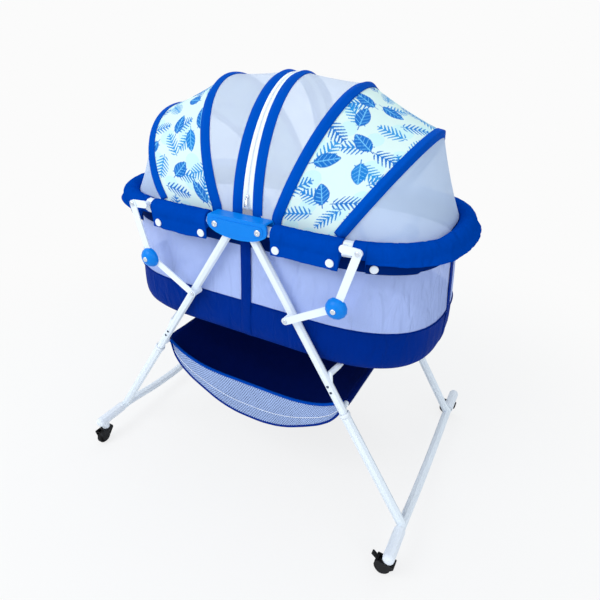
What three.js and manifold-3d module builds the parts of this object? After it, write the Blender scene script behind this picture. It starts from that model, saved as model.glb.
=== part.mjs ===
// Folding baby bassinet on castors: a cloth cradle hung from a hinged top rail, crossed legs with
// knee stays, a storage basket and a two-part canopy. Millimetres, +Z up, front towards -Y,
// origin on the floor under the middle.
import * as THREE from "three";
import { mergeVertices } from "three/addons/utils/BufferGeometryUtils.js";
import Module from "manifold-3d";

const wasm = await Module();
wasm.setup();

// Gaps between pieces
const CLEARANCE = 0.3;
const RUNNING_GAP = 0.6;

// Top rail and its pivots in the side brackets
const RAIL_HEIGHT = 705;
const RAIL_HALF_LENGTH = 398;
const RAIL_HALF_WIDTH = 222;
const RAIL_STRAIGHT = 150;
const RAIL_ROUNDNESS = 2.7;
const RAIL_TUBE_RADIUS = 11;
const RAIL_PIVOT_X = 51;
const TUBE_STUB = 11;
const PIVOT_PIN_RADIUS = 4;

// Side bracket, a moulded housing open at its ends and underneath
const BRACKET_HALF_LENGTH = 71;
const BRACKET_TOP = 20;
const BRACKET_DROP = 25;
const BRACKET_CORNER = 8;
const BRACKET_WALL = 3;
const BRACKET_FACE = 5.5;
const BRACKET_LIP = 1.2;
const RIVET_RADIUS = 6.5;
const RIVET_HEIGHT = 3;

// Padded sleeve over the rail, with an outer flap, and the gap in it at each clip
const SLEEVE_RADIUS = 18.5;
const SLEEVE_LINER = 1.7;
const SLEEVE_START = 78;
const FLAP_DROP = 41;
const FLAP_THICKNESS = 6;
const FLARE_START = 275;
const FLARE_ANGLE = 36;
const TONGUE_LENGTH = 17;
const TONGUE_THICKNESS = 2;
const TONGUE_HALF_HEIGHT = 7;
const CLIP_X = 234;
const CLIP_RISE = 9;
const CLIP_LENGTH = 18;
const CLIP_END_GAP = 4;
const CLIP_WRAP = 250;
const CLIP_THICKNESS = 2.2;

// Knee stay: a strap from the clip to the knob and one from the knob to the leg
const STAY_TOP_X = 264;
const STAY_TOP_RISE = 7;
const KNOB_X = 231;
const KNOB_DROP = 112.4;
const KNOB_RADIUS = 23;
const KNOB_DEPTH = 18;
const STAY_FOOT_DROP = 172;
const STAY_LUG_OFFSET = 8;
const STAY_WIDTH = 16;
const STAY_THICKNESS = 2.7;
const STAY_STANDOFF = 4;
const STAY_RIVET_RADIUS = 4.5;
const STAY_RIVET_HEIGHT = 2;

// Legs, rocker foot bars and braces
const LEG_PIVOT_X = 16;
const FOOT_X = 423.7;
const FOOT_BAR_HEIGHT = 69;
const FOOT_BAR_SAG = 20;
const FOOT_BAR_SHARES = [[0.85, 0.08], [0.45, 0.7], [0, 1]];
const UPPER_LEG_RADIUS = 9.5;
const LOWER_LEG_RADIUS = 11;
const LEG_JOINT_HEIGHT = 327;
const LEG_INSERT = 45;
const FOOT_BAR_RADIUS = 11;
const BRACE_RADIUS = 7;
const BRACE_HEIGHT = 416;
const BRACE_ROOT_DROP = 30;
const BRACE_REACH = 20;
const ROD_ABOVE_JOINT = 9;
const ROD_RADIUS = 6.35;

// Foot caps and castors
const CAP_RADIUS = 13.5;
const CAP_LENGTH = 92;
const CAP_END_Y = 328;
const CAP_SOCKET = 42;
const CAP_EDGE = 1.5;
const CAP_NOSE = 10;
const CAP_NOSE_SHARES = [[1, 1], [0.87, 0.5], [0.5, 0.13], [0, 0]];
const NECK_RADIUS = 10;
const NECK_BOTTOM = 43;
const CASTOR_Y = 304;
const STEM_RADIUS = 4;
const STEM_LENGTH = 18;
const WHEEL_RADIUS = 19;
const WHEEL_WIDTH = 15;
const WHEEL_TRAIL = 13;
const WHEEL_DISH = 2;
const WHEEL_SHARES = { hub: 0.4, dish: 0.7, shoulder: 0.85, tread: 0.55 };
const WHEEL_ROOM = 1.5;
const AXLE_RADIUS = 2.5;
const FORK_CHEEK = 3.5;
const FORK_CHEEK_RADIUS = 11;
const FORK_TOP_RADIUS = 14;
const FORK_CROWN = 3.4;
const PEDAL_PIN_RADIUS = 1.6;
const PEDAL_BARREL_RADIUS = 3.6;
const PEDAL_WIDTH = 11;
const PEDAL_LENGTH = 17;
const PEDAL_THICKNESS = 3.5;
const PEDAL_WHEEL_GAP = 1.5;
const PEDAL_PLACE = 122;
const PEDAL_TILT = 40;

// Cloth cradle hung inside the rail
const BAG_TOP_DROP = 6;
const BAG_BULGE = { long: 18, wide: 4.5 };
const BAG_BULGE_SHARE = 0.35;
const BAG_WALL = 3;
const BAND_TOP = 522;
const BAG_BOTTOM = 425;
const BAG_BOTTOM_INSET = 26;
const TUB_SHARES = [[1, 0], [0.35, 0.09], [0, 0.35]];
const MATTRESS_THICKNESS = 34;
const MATTRESS_INSET = 12;
const MATTRESS_CROWN = 7;
const MATTRESS_CROWN_SHARES = [[1, 1, 1], [0.86, 0.8, 0.25], [0.45, 0.4, 0]];
const MATTRESS_SEAM_SHARE = 0.35;

// Storage basket slung between the rods
const BASKET_DEPTH = 156;
const BASKET_HALF_WIDTH = 200;
const BASKET_WALL = 2.5;
const BASKET_SHARES = [[1, 1], [0.955, 0.7], [0.88, 0.53], [0.76, 0.38], [0.45, 0.12], [0.18, 0]];
const BASKET_EDGE_SAG = 52;
const BASKET_EDGE_POWER = 4;

// Canopy hoops from the sides to the middle: foot, apex, rise over the rail, inset from the rail
const HOOP_RADIUS = 2.8;
const HOOP_FOOT_RISE = 17;
const OUTER_HOOP = { foot: 210, apex: 319, rise: 186, inset: 10.4, roundness: 1.9 };
const MIDDLE_HOOP = { foot: 69, apex: 158, rise: 262, inset: 20, roundness: 2.05 };
const CENTRE_HOOP = { foot: 25, apex: 19.5, rise: 275, inset: 26, roundness: 1.9 };
const HOOP_PIVOT_RISE = 7;
const NET_THICKNESS = 1.6;
const NET_START_ANGLE = 0.12;
const NET_SAG = 4;
const NET_ROWS = [0, 0.33, 0.67, 1];
const NET_RIM_INSET = 3;
const NET_RIM_RISE = 4;

// Facet counts
const ROUND_SIDES = 10;
const TUBE_SIDES = 8;
const OVAL_POINTS = 36;
const SMALL_SIDES = 8;
const ROLL_STEPS = 9;
const KNOB_SIDES = 14;
const WHEEL_SIDES = 16;
const HOOP_STEPS = 18;
const ARCH_STEPS = 16;
const RAIL_STEPS = 30;

// Colours
const WHITE_METAL = { color: 0xf2f4f8, roughness: 0.35, metalness: 0.2 };
const WHITE_PLASTIC = { color: 0xf0f2f6, roughness: 0.45, metalness: 0 };
const AZURE_PLASTIC = { color: 0x0f8cf5, roughness: 0.4, metalness: 0 };
const BLACK_PLASTIC = { color: 0x0b0b0c, roughness: 0.55, metalness: 0 };
const NAVY_CLOTH = { color: 0x0a3fa8, roughness: 0.85, metalness: 0 };
const DARK_CLOTH = { color: 0x0a2a80, roughness: 0.9, metalness: 0 };
const PALE_NET = { color: 0xd4e0ff, roughness: 0.9, metalness: 0 };
const PRINT_CLOTH = { color: 0xe1fffa, roughness: 0.9, metalness: 0 };
const MATTRESS_CLOTH = { color: 0xc9d8f5, roughness: 0.9, metalness: 0 };

// Derived places
const legFoot = new THREE.Vector2(FOOT_X, FOOT_BAR_HEIGHT);
const legTop = new THREE.Vector2(LEG_PIVOT_X, RAIL_HEIGHT);
const legDirection = legFoot.clone().sub(legTop).normalize();
const stayTop = new THREE.Vector2(STAY_TOP_X, RAIL_HEIGHT + STAY_TOP_RISE);
const clipArmEnd = new THREE.Vector2(CLIP_X, RAIL_HEIGHT + CLIP_RISE);
const knee = new THREE.Vector2(KNOB_X, RAIL_HEIGHT - KNOB_DROP);
const legAtStay = legPointAt(RAIL_HEIGHT - STAY_FOOT_DROP);
const stayFoot = legAtStay.clone().add(
  new THREE.Vector2(legDirection.y, -legDirection.x).multiplyScalar(STAY_LUG_OFFSET));
const rodPlace = legPointAt(LEG_JOINT_HEIGHT + ROD_ABOVE_JOINT);
const bracketInner = RAIL_HALF_WIDTH - RAIL_TUBE_RADIUS - RUNNING_GAP;
const bracketOuter = RAIL_HALF_WIDTH + RAIL_TUBE_RADIUS + RUNNING_GAP;
const lowerStayBack = bracketOuter + BRACKET_FACE + STAY_STANDOFF;
const upperStayBack = lowerStayBack + STAY_THICKNESS + RUNNING_GAP;
const wheelCentre = new THREE.Vector2(-WHEEL_TRAIL, WHEEL_RADIUS);

const bassinet = new THREE.Group();
bassinet.name = "bassinet";

// Solids and booleans

function bare(geometry) {
  const copy = geometry.clone();
  for (const name of Object.keys(copy.attributes)) {
    if (name !== "position") copy.deleteAttribute(name);
  }
  return mergeVertices(copy, 1e-4);
}

function toSolid(geometry) {
  const clean = bare(geometry);
  return new wasm.Manifold(new wasm.Mesh({
    numProp: 3,
    vertProperties: Float32Array.from(clean.attributes.position.array),
    triVerts: Uint32Array.from(clean.index.array),
  }));
}

function toGeometry(solid) {
  const mesh = solid.getMesh();
  const geometry = new THREE.BufferGeometry();
  geometry.setAttribute("position", new THREE.BufferAttribute(mesh.vertProperties, 3));
  geometry.setIndex(new THREE.BufferAttribute(mesh.triVerts, 1));
  return geometry;
}

function join(...pieces) {
  return toGeometry(pieces.map(toSolid).reduce((sum, piece) => sum.add(piece)));
}

function cut(body, ...tools) {
  return toGeometry(tools.map(toSolid).reduce((rest, tool) => rest.subtract(tool), toSolid(body)));
}

function mirror(geometry, signX, signY) {
  const copy = bare(geometry);
  copy.scale(signX, signY, 1);
  if (signX * signY < 0) flip(copy);
  return copy;
}

function flip(geometry) {
  const index = geometry.index.array;
  for (let i = 0; i < index.length; i += 3) {
    [index[i], index[i + 1]] = [index[i + 1], index[i]];
  }
}

function signedVolume(geometry) {
  const at = (i) => new THREE.Vector3().fromBufferAttribute(geometry.attributes.position, i);
  const index = geometry.index.array;
  let volume = 0;
  for (let i = 0; i < index.length; i += 3) {
    volume += at(index[i]).dot(at(index[i + 1]).cross(at(index[i + 2]))) / 6;
  }
  return volume;
}

// Solid through a row of rings with equal point counts; the flat outline triangulates both ends
function loft(rings, outline) {
  const count = rings[0].length;
  const index = [];
  for (let i = 0; i + 1 < rings.length; i += 1) {
    for (let j = 0; j < count; j += 1) {
      const a = i * count + j;
      const b = i * count + ((j + 1) % count);
      index.push(a, b, b + count, a, b + count, a + count);
    }
  }
  const last = (rings.length - 1) * count;
  for (const [a, b, c] of THREE.ShapeUtils.triangulateShape(outline, [])) {
    index.push(a, c, b, last + a, last + b, last + c);
  }
  const geometry = new THREE.BufferGeometry().setFromPoints(rings.flat());
  geometry.setIndex(index);
  if (signedVolume(geometry) < 0) flip(geometry);
  return geometry;
}

function tube(points, radius, steps, sides = TUBE_SIDES) {
  const section = new THREE.Shape(circle(radius, sides));
  const extrudePath = new THREE.CatmullRomCurve3(points);
  return new THREE.ExtrudeGeometry(section, { steps, bevelEnabled: false, extrudePath });
}

function circle(radius, sides) {
  return Array.from({ length: sides }, (_, i) => {
    const angle = (2 * Math.PI * i) / sides;
    return new THREE.Vector2(radius * Math.cos(angle), radius * Math.sin(angle));
  });
}

// Corner radius of a faceted hole whose flats clear a round bar
function holeRadius(barRadius, sides) {
  return (barRadius + CLEARANCE) / Math.cos(Math.PI / sides);
}

// Round bar along Y, as seen from the front at (x, z)
function pin(x, z, radius, y0, y1, sides = ROUND_SIDES) {
  const bar = new THREE.CylinderGeometry(radius, radius, Math.abs(y1 - y0), sides);
  return bar.translate(x, (y0 + y1) / 2, z);
}

// Flat plate from a front-view shape, between two depths in front of the middle
function plate(shape, nearest, furthest, segments = 6) {
  const slab = new THREE.ExtrudeGeometry(shape, {
    depth: furthest - nearest, bevelEnabled: false, curveSegments: segments,
  });
  return slab.rotateX(Math.PI / 2).translate(0, -nearest, 0);
}

function strap(from, to, width) {
  const angle = Math.atan2(to.y - from.y, to.x - from.x);
  const half = width / 2;
  const shape = new THREE.Shape();
  shape.absarc(from.x, from.y, half, angle + Math.PI / 2, angle - Math.PI / 2, false);
  shape.absarc(to.x, to.y, half, angle - Math.PI / 2, angle + Math.PI / 2, false);
  return shape;
}

// Solid of revolution about Y, from pairs of radius and depth in front of the middle
function revolve(profile, sides = ROUND_SIDES) {
  const points = profile.map(([radius, depth]) => new THREE.Vector2(radius, -depth));
  const geometry = bare(new THREE.LatheGeometry(points, sides));
  if (signedVolume(geometry) < 0) flip(geometry);
  return geometry;
}

// Dome on a flat base, standing out towards the front from the given depth
function frontDome(x, z, depth, radius, height, steps = 3, sides = ROUND_SIDES) {
  const arc = Array.from({ length: steps }, (_, i) => {
    const angle = (Math.PI / 2) * (i / steps);
    return [radius * Math.cos(angle), depth + height * Math.sin(angle)];
  });
  return revolve([[0, depth], ...arc, [0, depth + height]], sides).translate(x, 0, z);
}

function add(name, geometry, finish) {
  const mesh = new THREE.Mesh(geometry, new THREE.MeshStandardMaterial(finish));
  mesh.name = name;
  bassinet.add(mesh);
}

const SIDES = [["left", -1], ["right", 1]];
const ENDS = [["front", 1], ["rear", -1]];

function addBySide(name, geometry, finish) {
  for (const [side, signX] of SIDES) add(`${name}_${side}`, mirror(geometry, signX, 1), finish);
}

function addByCorner(name, geometry, finish) {
  for (const [end, signY] of ENDS) {
    for (const [side, signX] of SIDES) {
      add(`${name}_${end}_${side}`, mirror(geometry, signX, signY), finish);
    }
  }
}

// Plan of the rail and of the cloth inside it

function endPoint(halfLength, halfWidth, straight, angle) {
  const power = 2 / RAIL_ROUNDNESS;
  const along = Math.max(Math.cos(angle), 0) ** power;
  const across = Math.sign(Math.sin(angle)) * Math.abs(Math.sin(angle)) ** power;
  return new THREE.Vector2(straight + (halfLength - straight) * along, halfWidth * across);
}

function railWidthAt(x) {
  if (x <= RAIL_STRAIGHT) return RAIL_HALF_WIDTH;
  const along = (x - RAIL_STRAIGHT) / (RAIL_HALF_LENGTH - RAIL_STRAIGHT);
  return RAIL_HALF_WIDTH * (1 - along ** RAIL_ROUNDNESS) ** (1 / RAIL_ROUNDNESS);
}

function railCurve(startX) {
  const quarter = 9;
  const front = [startX, (startX + RAIL_STRAIGHT) / 2].map((x) => new THREE.Vector2(x, -RAIL_HALF_WIDTH));
  const end = Array.from({ length: 2 * quarter + 1 }, (_, i) =>
    endPoint(RAIL_HALF_LENGTH, RAIL_HALF_WIDTH, RAIL_STRAIGHT, (Math.PI / 2) * (i / quarter - 1)));
  const rear = front.map((p) => new THREE.Vector2(p.x, -p.y)).reverse();
  const points = [...front, ...end, ...rear];
  return new THREE.CatmullRomCurve3(points.map((p) => new THREE.Vector3(p.x, p.y, RAIL_HEIGHT)));
}

// Where along its front half the rail reaches x, as a share of its length
function railShareAt(x) {
  let low = 0;
  let high = 0.5;
  for (let i = 0; i < 40; i += 1) {
    const middle = (low + high) / 2;
    if (railPath.getPointAt(middle).x < x) low = middle;
    else high = middle;
  }
  return low;
}

// Section swept along the rail between two shares of its length, on stations that all sweeps share;
// section points are outward and up, and the section turns outward by turnAt of its x
function railSweep(section, from, to, turnAt = () => 0) {
  const even = Array.from({ length: RAIL_STEPS + 1 }, (_, i) => i / RAIL_STEPS);
  const atClips = [-1, 1].map((side) => railShareAt(CLIP_X + (side * CLIP_LENGTH) / 2));
  const stations = [...even, ...atClips, ...atClips.map((share) => 1 - share)].sort((a, b) => a - b);
  const margin = 0.2 / RAIL_STEPS;
  const between = stations.filter((share) => share > from + margin && share < to - margin);
  const rings = [from, ...between, to].map((share) => {
    const at = railPath.getPointAt(share);
    const along = railPath.getTangentAt(share);
    const turn = turnAt(at.x);
    return section.map((point) => {
      const p = point.clone().rotateAround(new THREE.Vector2(), turn);
      return new THREE.Vector3(at.x + along.y * p.x, at.y - along.x * p.x, at.z + p.y);
    });
  });
  return loft(rings, section);
}

function legPointAt(height) {
  const share = (legTop.y - height) / (legTop.y - legFoot.y);
  return legTop.clone().lerp(legFoot, share);
}

function oval(halfLength, halfWidth, height) {
  const inset = RAIL_HALF_LENGTH - halfLength;
  const straight = RAIL_STRAIGHT - inset / 4;
  const half = OVAL_POINTS / 2;
  return Array.from({ length: OVAL_POINTS }, (_, i) => {
    const turn = ((i % half) / (half - 1)) * 2 - 1;
    const p = endPoint(halfLength, halfWidth, straight, (Math.PI / 2) * turn);
    const sign = i < half ? 1 : -1;
    return new THREE.Vector3(sign * p.x, sign * p.y, height);
  });
}

function ovalStack(levels) {
  const rings = levels.map(([halfLength, halfWidth, height]) => oval(halfLength, halfWidth, height));
  return loft(rings, rings[0].map((p) => new THREE.Vector2(p.x, p.y)));
}

// Bracket: curved housing with a lip at each end, four pivot pins and two visible rivet heads

function bracketShape(grow) {
  const half = BRACKET_HALF_LENGTH + grow;
  const top = RAIL_HEIGHT + BRACKET_TOP + grow;
  const shape = new THREE.Shape();
  shape.moveTo(-half + BRACKET_CORNER, top);
  shape.quadraticCurveTo(-half, top, -half, RAIL_HEIGHT);
  shape.absellipse(0, RAIL_HEIGHT, half, BRACKET_DROP + grow, Math.PI, 2 * Math.PI, false, 0);
  shape.quadraticCurveTo(half, top, half - BRACKET_CORNER, top);
  return shape;
}

function makeBracket() {
  const face = bracketOuter + BRACKET_FACE;
  const back = bracketInner - BRACKET_WALL;
  const body = plate(bracketShape(0), back, face, 8);
  const raised = plate(bracketShape(-BRACKET_CORNER), face - 1, face + BRACKET_LIP, 8);
  const hollow = new THREE.BoxGeometry(
    4 * BRACKET_HALF_LENGTH, bracketOuter - bracketInner, 2 * BRACKET_HALF_LENGTH);
  const hollowTop = BRACKET_TOP - BRACKET_WALL;
  hollow.translate(0, -(bracketOuter + bracketInner) / 2, RAIL_HEIGHT + hollowTop - BRACKET_HALF_LENGTH);
  const shell = join(cut(body, hollow), raised);
  const pins = [-1, 1].flatMap((side) => [
    pin(side * RAIL_PIVOT_X, RAIL_HEIGHT, PIVOT_PIN_RADIUS, -back - 1, -face, SMALL_SIDES),
    pin(side * LEG_PIVOT_X, RAIL_HEIGHT, PIVOT_PIN_RADIUS, -back - 1, -face, SMALL_SIDES),
    frontDome(side * RAIL_PIVOT_X, RAIL_HEIGHT, face, RIVET_RADIUS, RIVET_HEIGHT),
  ]);
  return join(shell, ...pins);
}

function pivotHole(x) {
  const reach = RAIL_TUBE_RADIUS * 2;
  const radius = holeRadius(PIVOT_PIN_RADIUS, SMALL_SIDES);
  return [-1, 1].map((end) => pin(
    x, RAIL_HEIGHT, radius, end * (RAIL_HALF_WIDTH - reach), end * (RAIL_HALF_WIDTH + reach), SMALL_SIDES));
}

// Rail, sleeve and clips

const railPath = railCurve(RAIL_PIVOT_X - TUBE_STUB);
const boreRadius = RAIL_TUBE_RADIUS + CLEARANCE;
const linerRadius = boreRadius + SLEEVE_LINER;

function railTube(radius) {
  return new THREE.ExtrudeGeometry(new THREE.Shape(circle(radius, TUBE_SIDES)), {
    steps: RAIL_STEPS, bevelEnabled: false, extrudePath: railPath,
  });
}

function makeRail() {
  return cut(railTube(RAIL_TUBE_RADIUS), ...pivotHole(RAIL_PIVOT_X));
}

// Round roll with a flap hanging on its outer side
function sleeveSection() {
  const roll = Array.from({ length: ROLL_STEPS + 1 }, (_, i) => {
    const angle = (i / ROLL_STEPS) * (Math.PI * 5) / 3;
    return new THREE.Vector2(SLEEVE_RADIUS * Math.cos(angle), SLEEVE_RADIUS * Math.sin(angle));
  });
  const back = RAIL_TUBE_RADIUS + 2 * RUNNING_GAP - CLEARANCE;
  const front = back + FLAP_THICKNESS;
  return [
    ...roll,
    new THREE.Vector2(back, -FLAP_DROP / 3),
    new THREE.Vector2(back, -FLAP_DROP),
    new THREE.Vector2(front, -FLAP_DROP),
  ];
}

// The flap hangs along the sides and stands out round the end of the rail
function flareAt(x) {
  return THREE.MathUtils.degToRad(FLARE_ANGLE) * THREE.MathUtils.smoothstep(x, FLARE_START, RAIL_HALF_LENGTH);
}

function makeSleeve() {
  const gapHalf = CLIP_LENGTH / 2 + CLIP_END_GAP;
  const start = railShareAt(SLEEVE_START);
  const gapStart = railShareAt(CLIP_X - gapHalf);
  const gapEnd = railShareAt(CLIP_X + gapHalf);
  const section = sleeveSection();
  const liner = railSweep(circle(linerRadius, TUBE_SIDES), start, 1 - start);
  const rolls = [
    railSweep(section, start, gapStart),
    railSweep(section, gapEnd, 1 - gapEnd, flareAt),
    railSweep(section, 1 - gapStart, 1 - start),
  ];
  const tongues = [-1, 1].map((end) => {
    const tongue = new THREE.BoxGeometry(
      TONGUE_LENGTH + 4, TONGUE_THICKNESS, 2 * TONGUE_HALF_HEIGHT);
    const inner = bracketInner - BRACKET_WALL - CLEARANCE - TONGUE_THICKNESS / 2;
    return tongue.translate(SLEEVE_START - TONGUE_LENGTH / 2 + 2, end * inner, RAIL_HEIGHT);
  });
  return cut(join(liner, ...rolls, ...tongues), railTube(boreRadius));
}

// Saddle over the rail with a boss and a flat arm that carries the stay's top rivet
function makeClip() {
  const facets = SMALL_SIDES;
  const wrap = THREE.MathUtils.degToRad(CLIP_WRAP);
  const inner = (linerRadius + CLEARANCE) / Math.cos(wrap / facets / 2);
  const arc = (radius, from, to) => Array.from({ length: facets + 1 }, (_, i) => {
    const angle = from + ((to - from) * i) / facets;
    return new THREE.Vector2(radius * Math.cos(angle), radius * Math.sin(angle));
  });
  const low = -Math.PI / 3;
  const section = [...arc(inner + CLIP_THICKNESS, low, low + wrap), ...arc(inner, low + wrap, low)];
  const start = railShareAt(CLIP_X - CLIP_LENGTH / 2);
  const end = railShareAt(CLIP_X + CLIP_LENGTH / 2);
  const saddle = railSweep(section, start, end);
  const armFront = upperStayBack - CLEARANCE;
  const arm = plate(strap(clipArmEnd, stayTop, STAY_WIDTH), lowerStayBack, armFront);
  const boss = pin(
    clipArmEnd.x, clipArmEnd.y, CLIP_LENGTH / 3, -(railWidthAt(CLIP_X) + inner + CLIP_THICKNESS / 2),
    -armFront + CLEARANCE);
  return join(saddle, boss, arm);
}

// Stay straps and knob

function makeUpperStay() {
  const front = upperStayBack + STAY_THICKNESS;
  const bar = plate(strap(stayTop, knee, STAY_WIDTH), upperStayBack, front);
  const rivet = frontDome(stayTop.x, stayTop.y, front - CLEARANCE, STAY_RIVET_RADIUS, STAY_RIVET_HEIGHT);
  return join(bar, rivet);
}

function makeLowerStay() {
  const front = lowerStayBack + STAY_THICKNESS;
  const bar = plate(strap(stayFoot, knee, STAY_WIDTH), lowerStayBack, front);
  const rivet = frontDome(stayFoot.x, stayFoot.y, front - CLEARANCE, STAY_RIVET_RADIUS, STAY_RIVET_HEIGHT);
  return join(bar, rivet);
}

// Domed knob with a channel for the upper strap
function makeKnob() {
  const ball = frontDome(knee.x, knee.y, upperStayBack, KNOB_RADIUS, KNOB_DEPTH, 5, KNOB_SIDES);
  const channel = plate(
    strap(stayTop, knee, STAY_WIDTH + 2 * CLEARANCE), upperStayBack - 1,
    upperStayBack + STAY_THICKNESS + CLEARANCE);
  return cut(ball, channel);
}

// Legs: the upper frames pivot in the brackets, the lower frames carry the rocker bars

function legLine(from, to, endY) {
  return [from, to].map((p) => new THREE.Vector3(p.x, endY, p.y));
}

function makeUpperLegFrame() {
  const head = legTop.clone().addScaledVector(legDirection, -TUBE_STUB);
  const tip = legPointAt(LEG_JOINT_HEIGHT).addScaledVector(legDirection, LEG_INSERT);
  const braceRoot = legPointAt(BRACE_HEIGHT - BRACE_ROOT_DROP);
  const bar = legPointAt(BRACE_HEIGHT).x + BRACE_REACH;
  const braceEnd = RAIL_HALF_WIDTH - UPPER_LEG_RADIUS - 3 * BRACE_RADIUS;
  const bracePoints = [
    new THREE.Vector3(braceRoot.x, -RAIL_HALF_WIDTH, braceRoot.y),
    new THREE.Vector3(bar - BRACE_RADIUS, -RAIL_HALF_WIDTH + BRACE_RADIUS / 2, BRACE_HEIGHT - BRACE_RADIUS),
    new THREE.Vector3(bar, -braceEnd, BRACE_HEIGHT),
    new THREE.Vector3(bar, -braceEnd / 3, BRACE_HEIGHT),
  ];
  const rest = bracePoints.map((p) => new THREE.Vector3(p.x, -p.y, p.z)).reverse();
  const legs = [-1, 1].map((end) =>
    tube(legLine(head, tip, end * RAIL_HALF_WIDTH), UPPER_LEG_RADIUS, 1));
  const lugs = [-1, 1].map((end) => pin(
    stayFoot.x, stayFoot.y, STAY_WIDTH / 2,
    end * (RAIL_HALF_WIDTH - UPPER_LEG_RADIUS / 3), end * (lowerStayBack - CLEARANCE)));
  const brace = tube([...bracePoints, ...rest], BRACE_RADIUS, 16);
  return cut(join(...legs, brace, ...lugs), ...pivotHole(LEG_PIVOT_X));
}

function makeLowerLegFrame() {
  const head = legPointAt(LEG_JOINT_HEIGHT);
  const socket = head.clone().addScaledVector(legDirection, LEG_INSERT + RUNNING_GAP);
  const above = head.clone().addScaledVector(legDirection, -LEG_INSERT);
  const capStart = CAP_END_Y - CAP_LENGTH;
  const barEnd = capStart + CAP_SOCKET - RUNNING_GAP;
  const sagging = FOOT_BAR_SHARES.map(([out, sag]) => [capStart * out, sag]);
  const half = [[barEnd, 0], [capStart - CLEARANCE, 0], ...sagging]
    .map(([y, sag]) => new THREE.Vector3(FOOT_X, -y, FOOT_BAR_HEIGHT - FOOT_BAR_SAG * sag));
  const rest = half.slice(0, -1).map((p) => new THREE.Vector3(p.x, -p.y, p.z)).reverse();
  const bar = tube([...half, ...rest], FOOT_BAR_RADIUS, 18);
  const legs = [-1, 1].map((end) =>
    tube(legLine(head, legFoot, end * RAIL_HALF_WIDTH), LOWER_LEG_RADIUS, 1));
  const sockets = [-1, 1].map((end) =>
    tube(legLine(above, socket, end * RAIL_HALF_WIDTH), UPPER_LEG_RADIUS + CLEARANCE, 1));
  return cut(join(bar, ...legs), ...sockets);
}

function makeBasketRod() {
  const half = RAIL_HALF_WIDTH - UPPER_LEG_RADIUS - CLEARANCE;
  return pin(rodPlace.x, rodPlace.y, ROD_RADIUS, -half, half);
}

// Cap over the end of a rocker bar, with the neck that takes a castor stem
function makeFootCap() {
  const start = CAP_END_Y - CAP_LENGTH;
  const nose = CAP_NOSE_SHARES.map(([wide, back]) => [CAP_RADIUS * wide, CAP_END_Y - CAP_NOSE * back]);
  const mouth = [[0, start], [CAP_RADIUS - CAP_EDGE, start], [CAP_RADIUS, start + 2 * CAP_EDGE]];
  const shell = revolve([...mouth, ...nose]).translate(FOOT_X, 0, FOOT_BAR_HEIGHT);
  const neck = new THREE.CylinderGeometry(
    NECK_RADIUS + 1, NECK_RADIUS, FOOT_BAR_HEIGHT - NECK_BOTTOM, ROUND_SIDES);
  neck.rotateX(Math.PI / 2).translate(FOOT_X, -CASTOR_Y, (FOOT_BAR_HEIGHT + NECK_BOTTOM) / 2);
  const socket = pin(
    FOOT_X, FOOT_BAR_HEIGHT, holeRadius(FOOT_BAR_RADIUS, ROUND_SIDES), -start + 1, -start - CAP_SOCKET);
  const stemTop = NECK_BOTTOM + STEM_LENGTH + CLEARANCE;
  const stemHoleRadius = holeRadius(STEM_RADIUS, SMALL_SIDES);
  const stemHole = new THREE.CylinderGeometry(
    stemHoleRadius, stemHoleRadius, stemTop - NECK_BOTTOM + 2, SMALL_SIDES);
  stemHole.rotateX(Math.PI / 2).translate(FOOT_X, -CASTOR_Y, (stemTop + NECK_BOTTOM) / 2 - 1);
  return cut(join(shell, neck), socket, stemHole);
}

// Castor: fork with stem and axle, wheel, and a brake pedal on a pin between the cheeks

const forkTop = NECK_BOTTOM - CLEARANCE;
const forkHalfWidth = WHEEL_WIDTH / 2 + RUNNING_GAP + FORK_CHEEK;
const pedalReach = WHEEL_RADIUS + PEDAL_BARREL_RADIUS + PEDAL_WHEEL_GAP;
const pedalPlace = THREE.MathUtils.degToRad(PEDAL_PLACE);
const pedalPin = wheelCentre.clone().add(
  new THREE.Vector2(Math.cos(pedalPlace), Math.sin(pedalPlace)).multiplyScalar(pedalReach));

function makeFork() {
  const shape = new THREE.Shape();
  shape.moveTo(FORK_TOP_RADIUS, forkTop);
  shape.lineTo(FORK_TOP_RADIUS, forkTop - 2 * FORK_CROWN);
  shape.lineTo(wheelCentre.x + FORK_CHEEK_RADIUS, wheelCentre.y - 2);
  shape.absarc(wheelCentre.x, wheelCentre.y, FORK_CHEEK_RADIUS, 0, Math.PI, true);
  shape.lineTo(pedalPin.x - PEDAL_BARREL_RADIUS, pedalPin.y);
  shape.absarc(pedalPin.x, pedalPin.y, PEDAL_BARREL_RADIUS, Math.PI, Math.PI / 2, true);
  shape.lineTo(-FORK_TOP_RADIUS, forkTop);
  const body = plate(shape, -forkHalfWidth, forkHalfWidth, 4);
  const slot = plate(forkSlot(), FORK_CHEEK - forkHalfWidth, forkHalfWidth - FORK_CHEEK, 4);
  const axle = pin(wheelCentre.x, wheelCentre.y, AXLE_RADIUS, -forkHalfWidth, forkHalfWidth, SMALL_SIDES);
  const brakePin = pin(
    pedalPin.x, pedalPin.y, PEDAL_PIN_RADIUS, -forkHalfWidth, forkHalfWidth, SMALL_SIDES);
  const stem = new THREE.CylinderGeometry(STEM_RADIUS, STEM_RADIUS, STEM_LENGTH + 2, SMALL_SIDES);
  stem.rotateX(Math.PI / 2).translate(0, 0, forkTop + STEM_LENGTH / 2 - 1);
  return join(cut(body, slot), axle, brakePin, stem);
}

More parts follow.
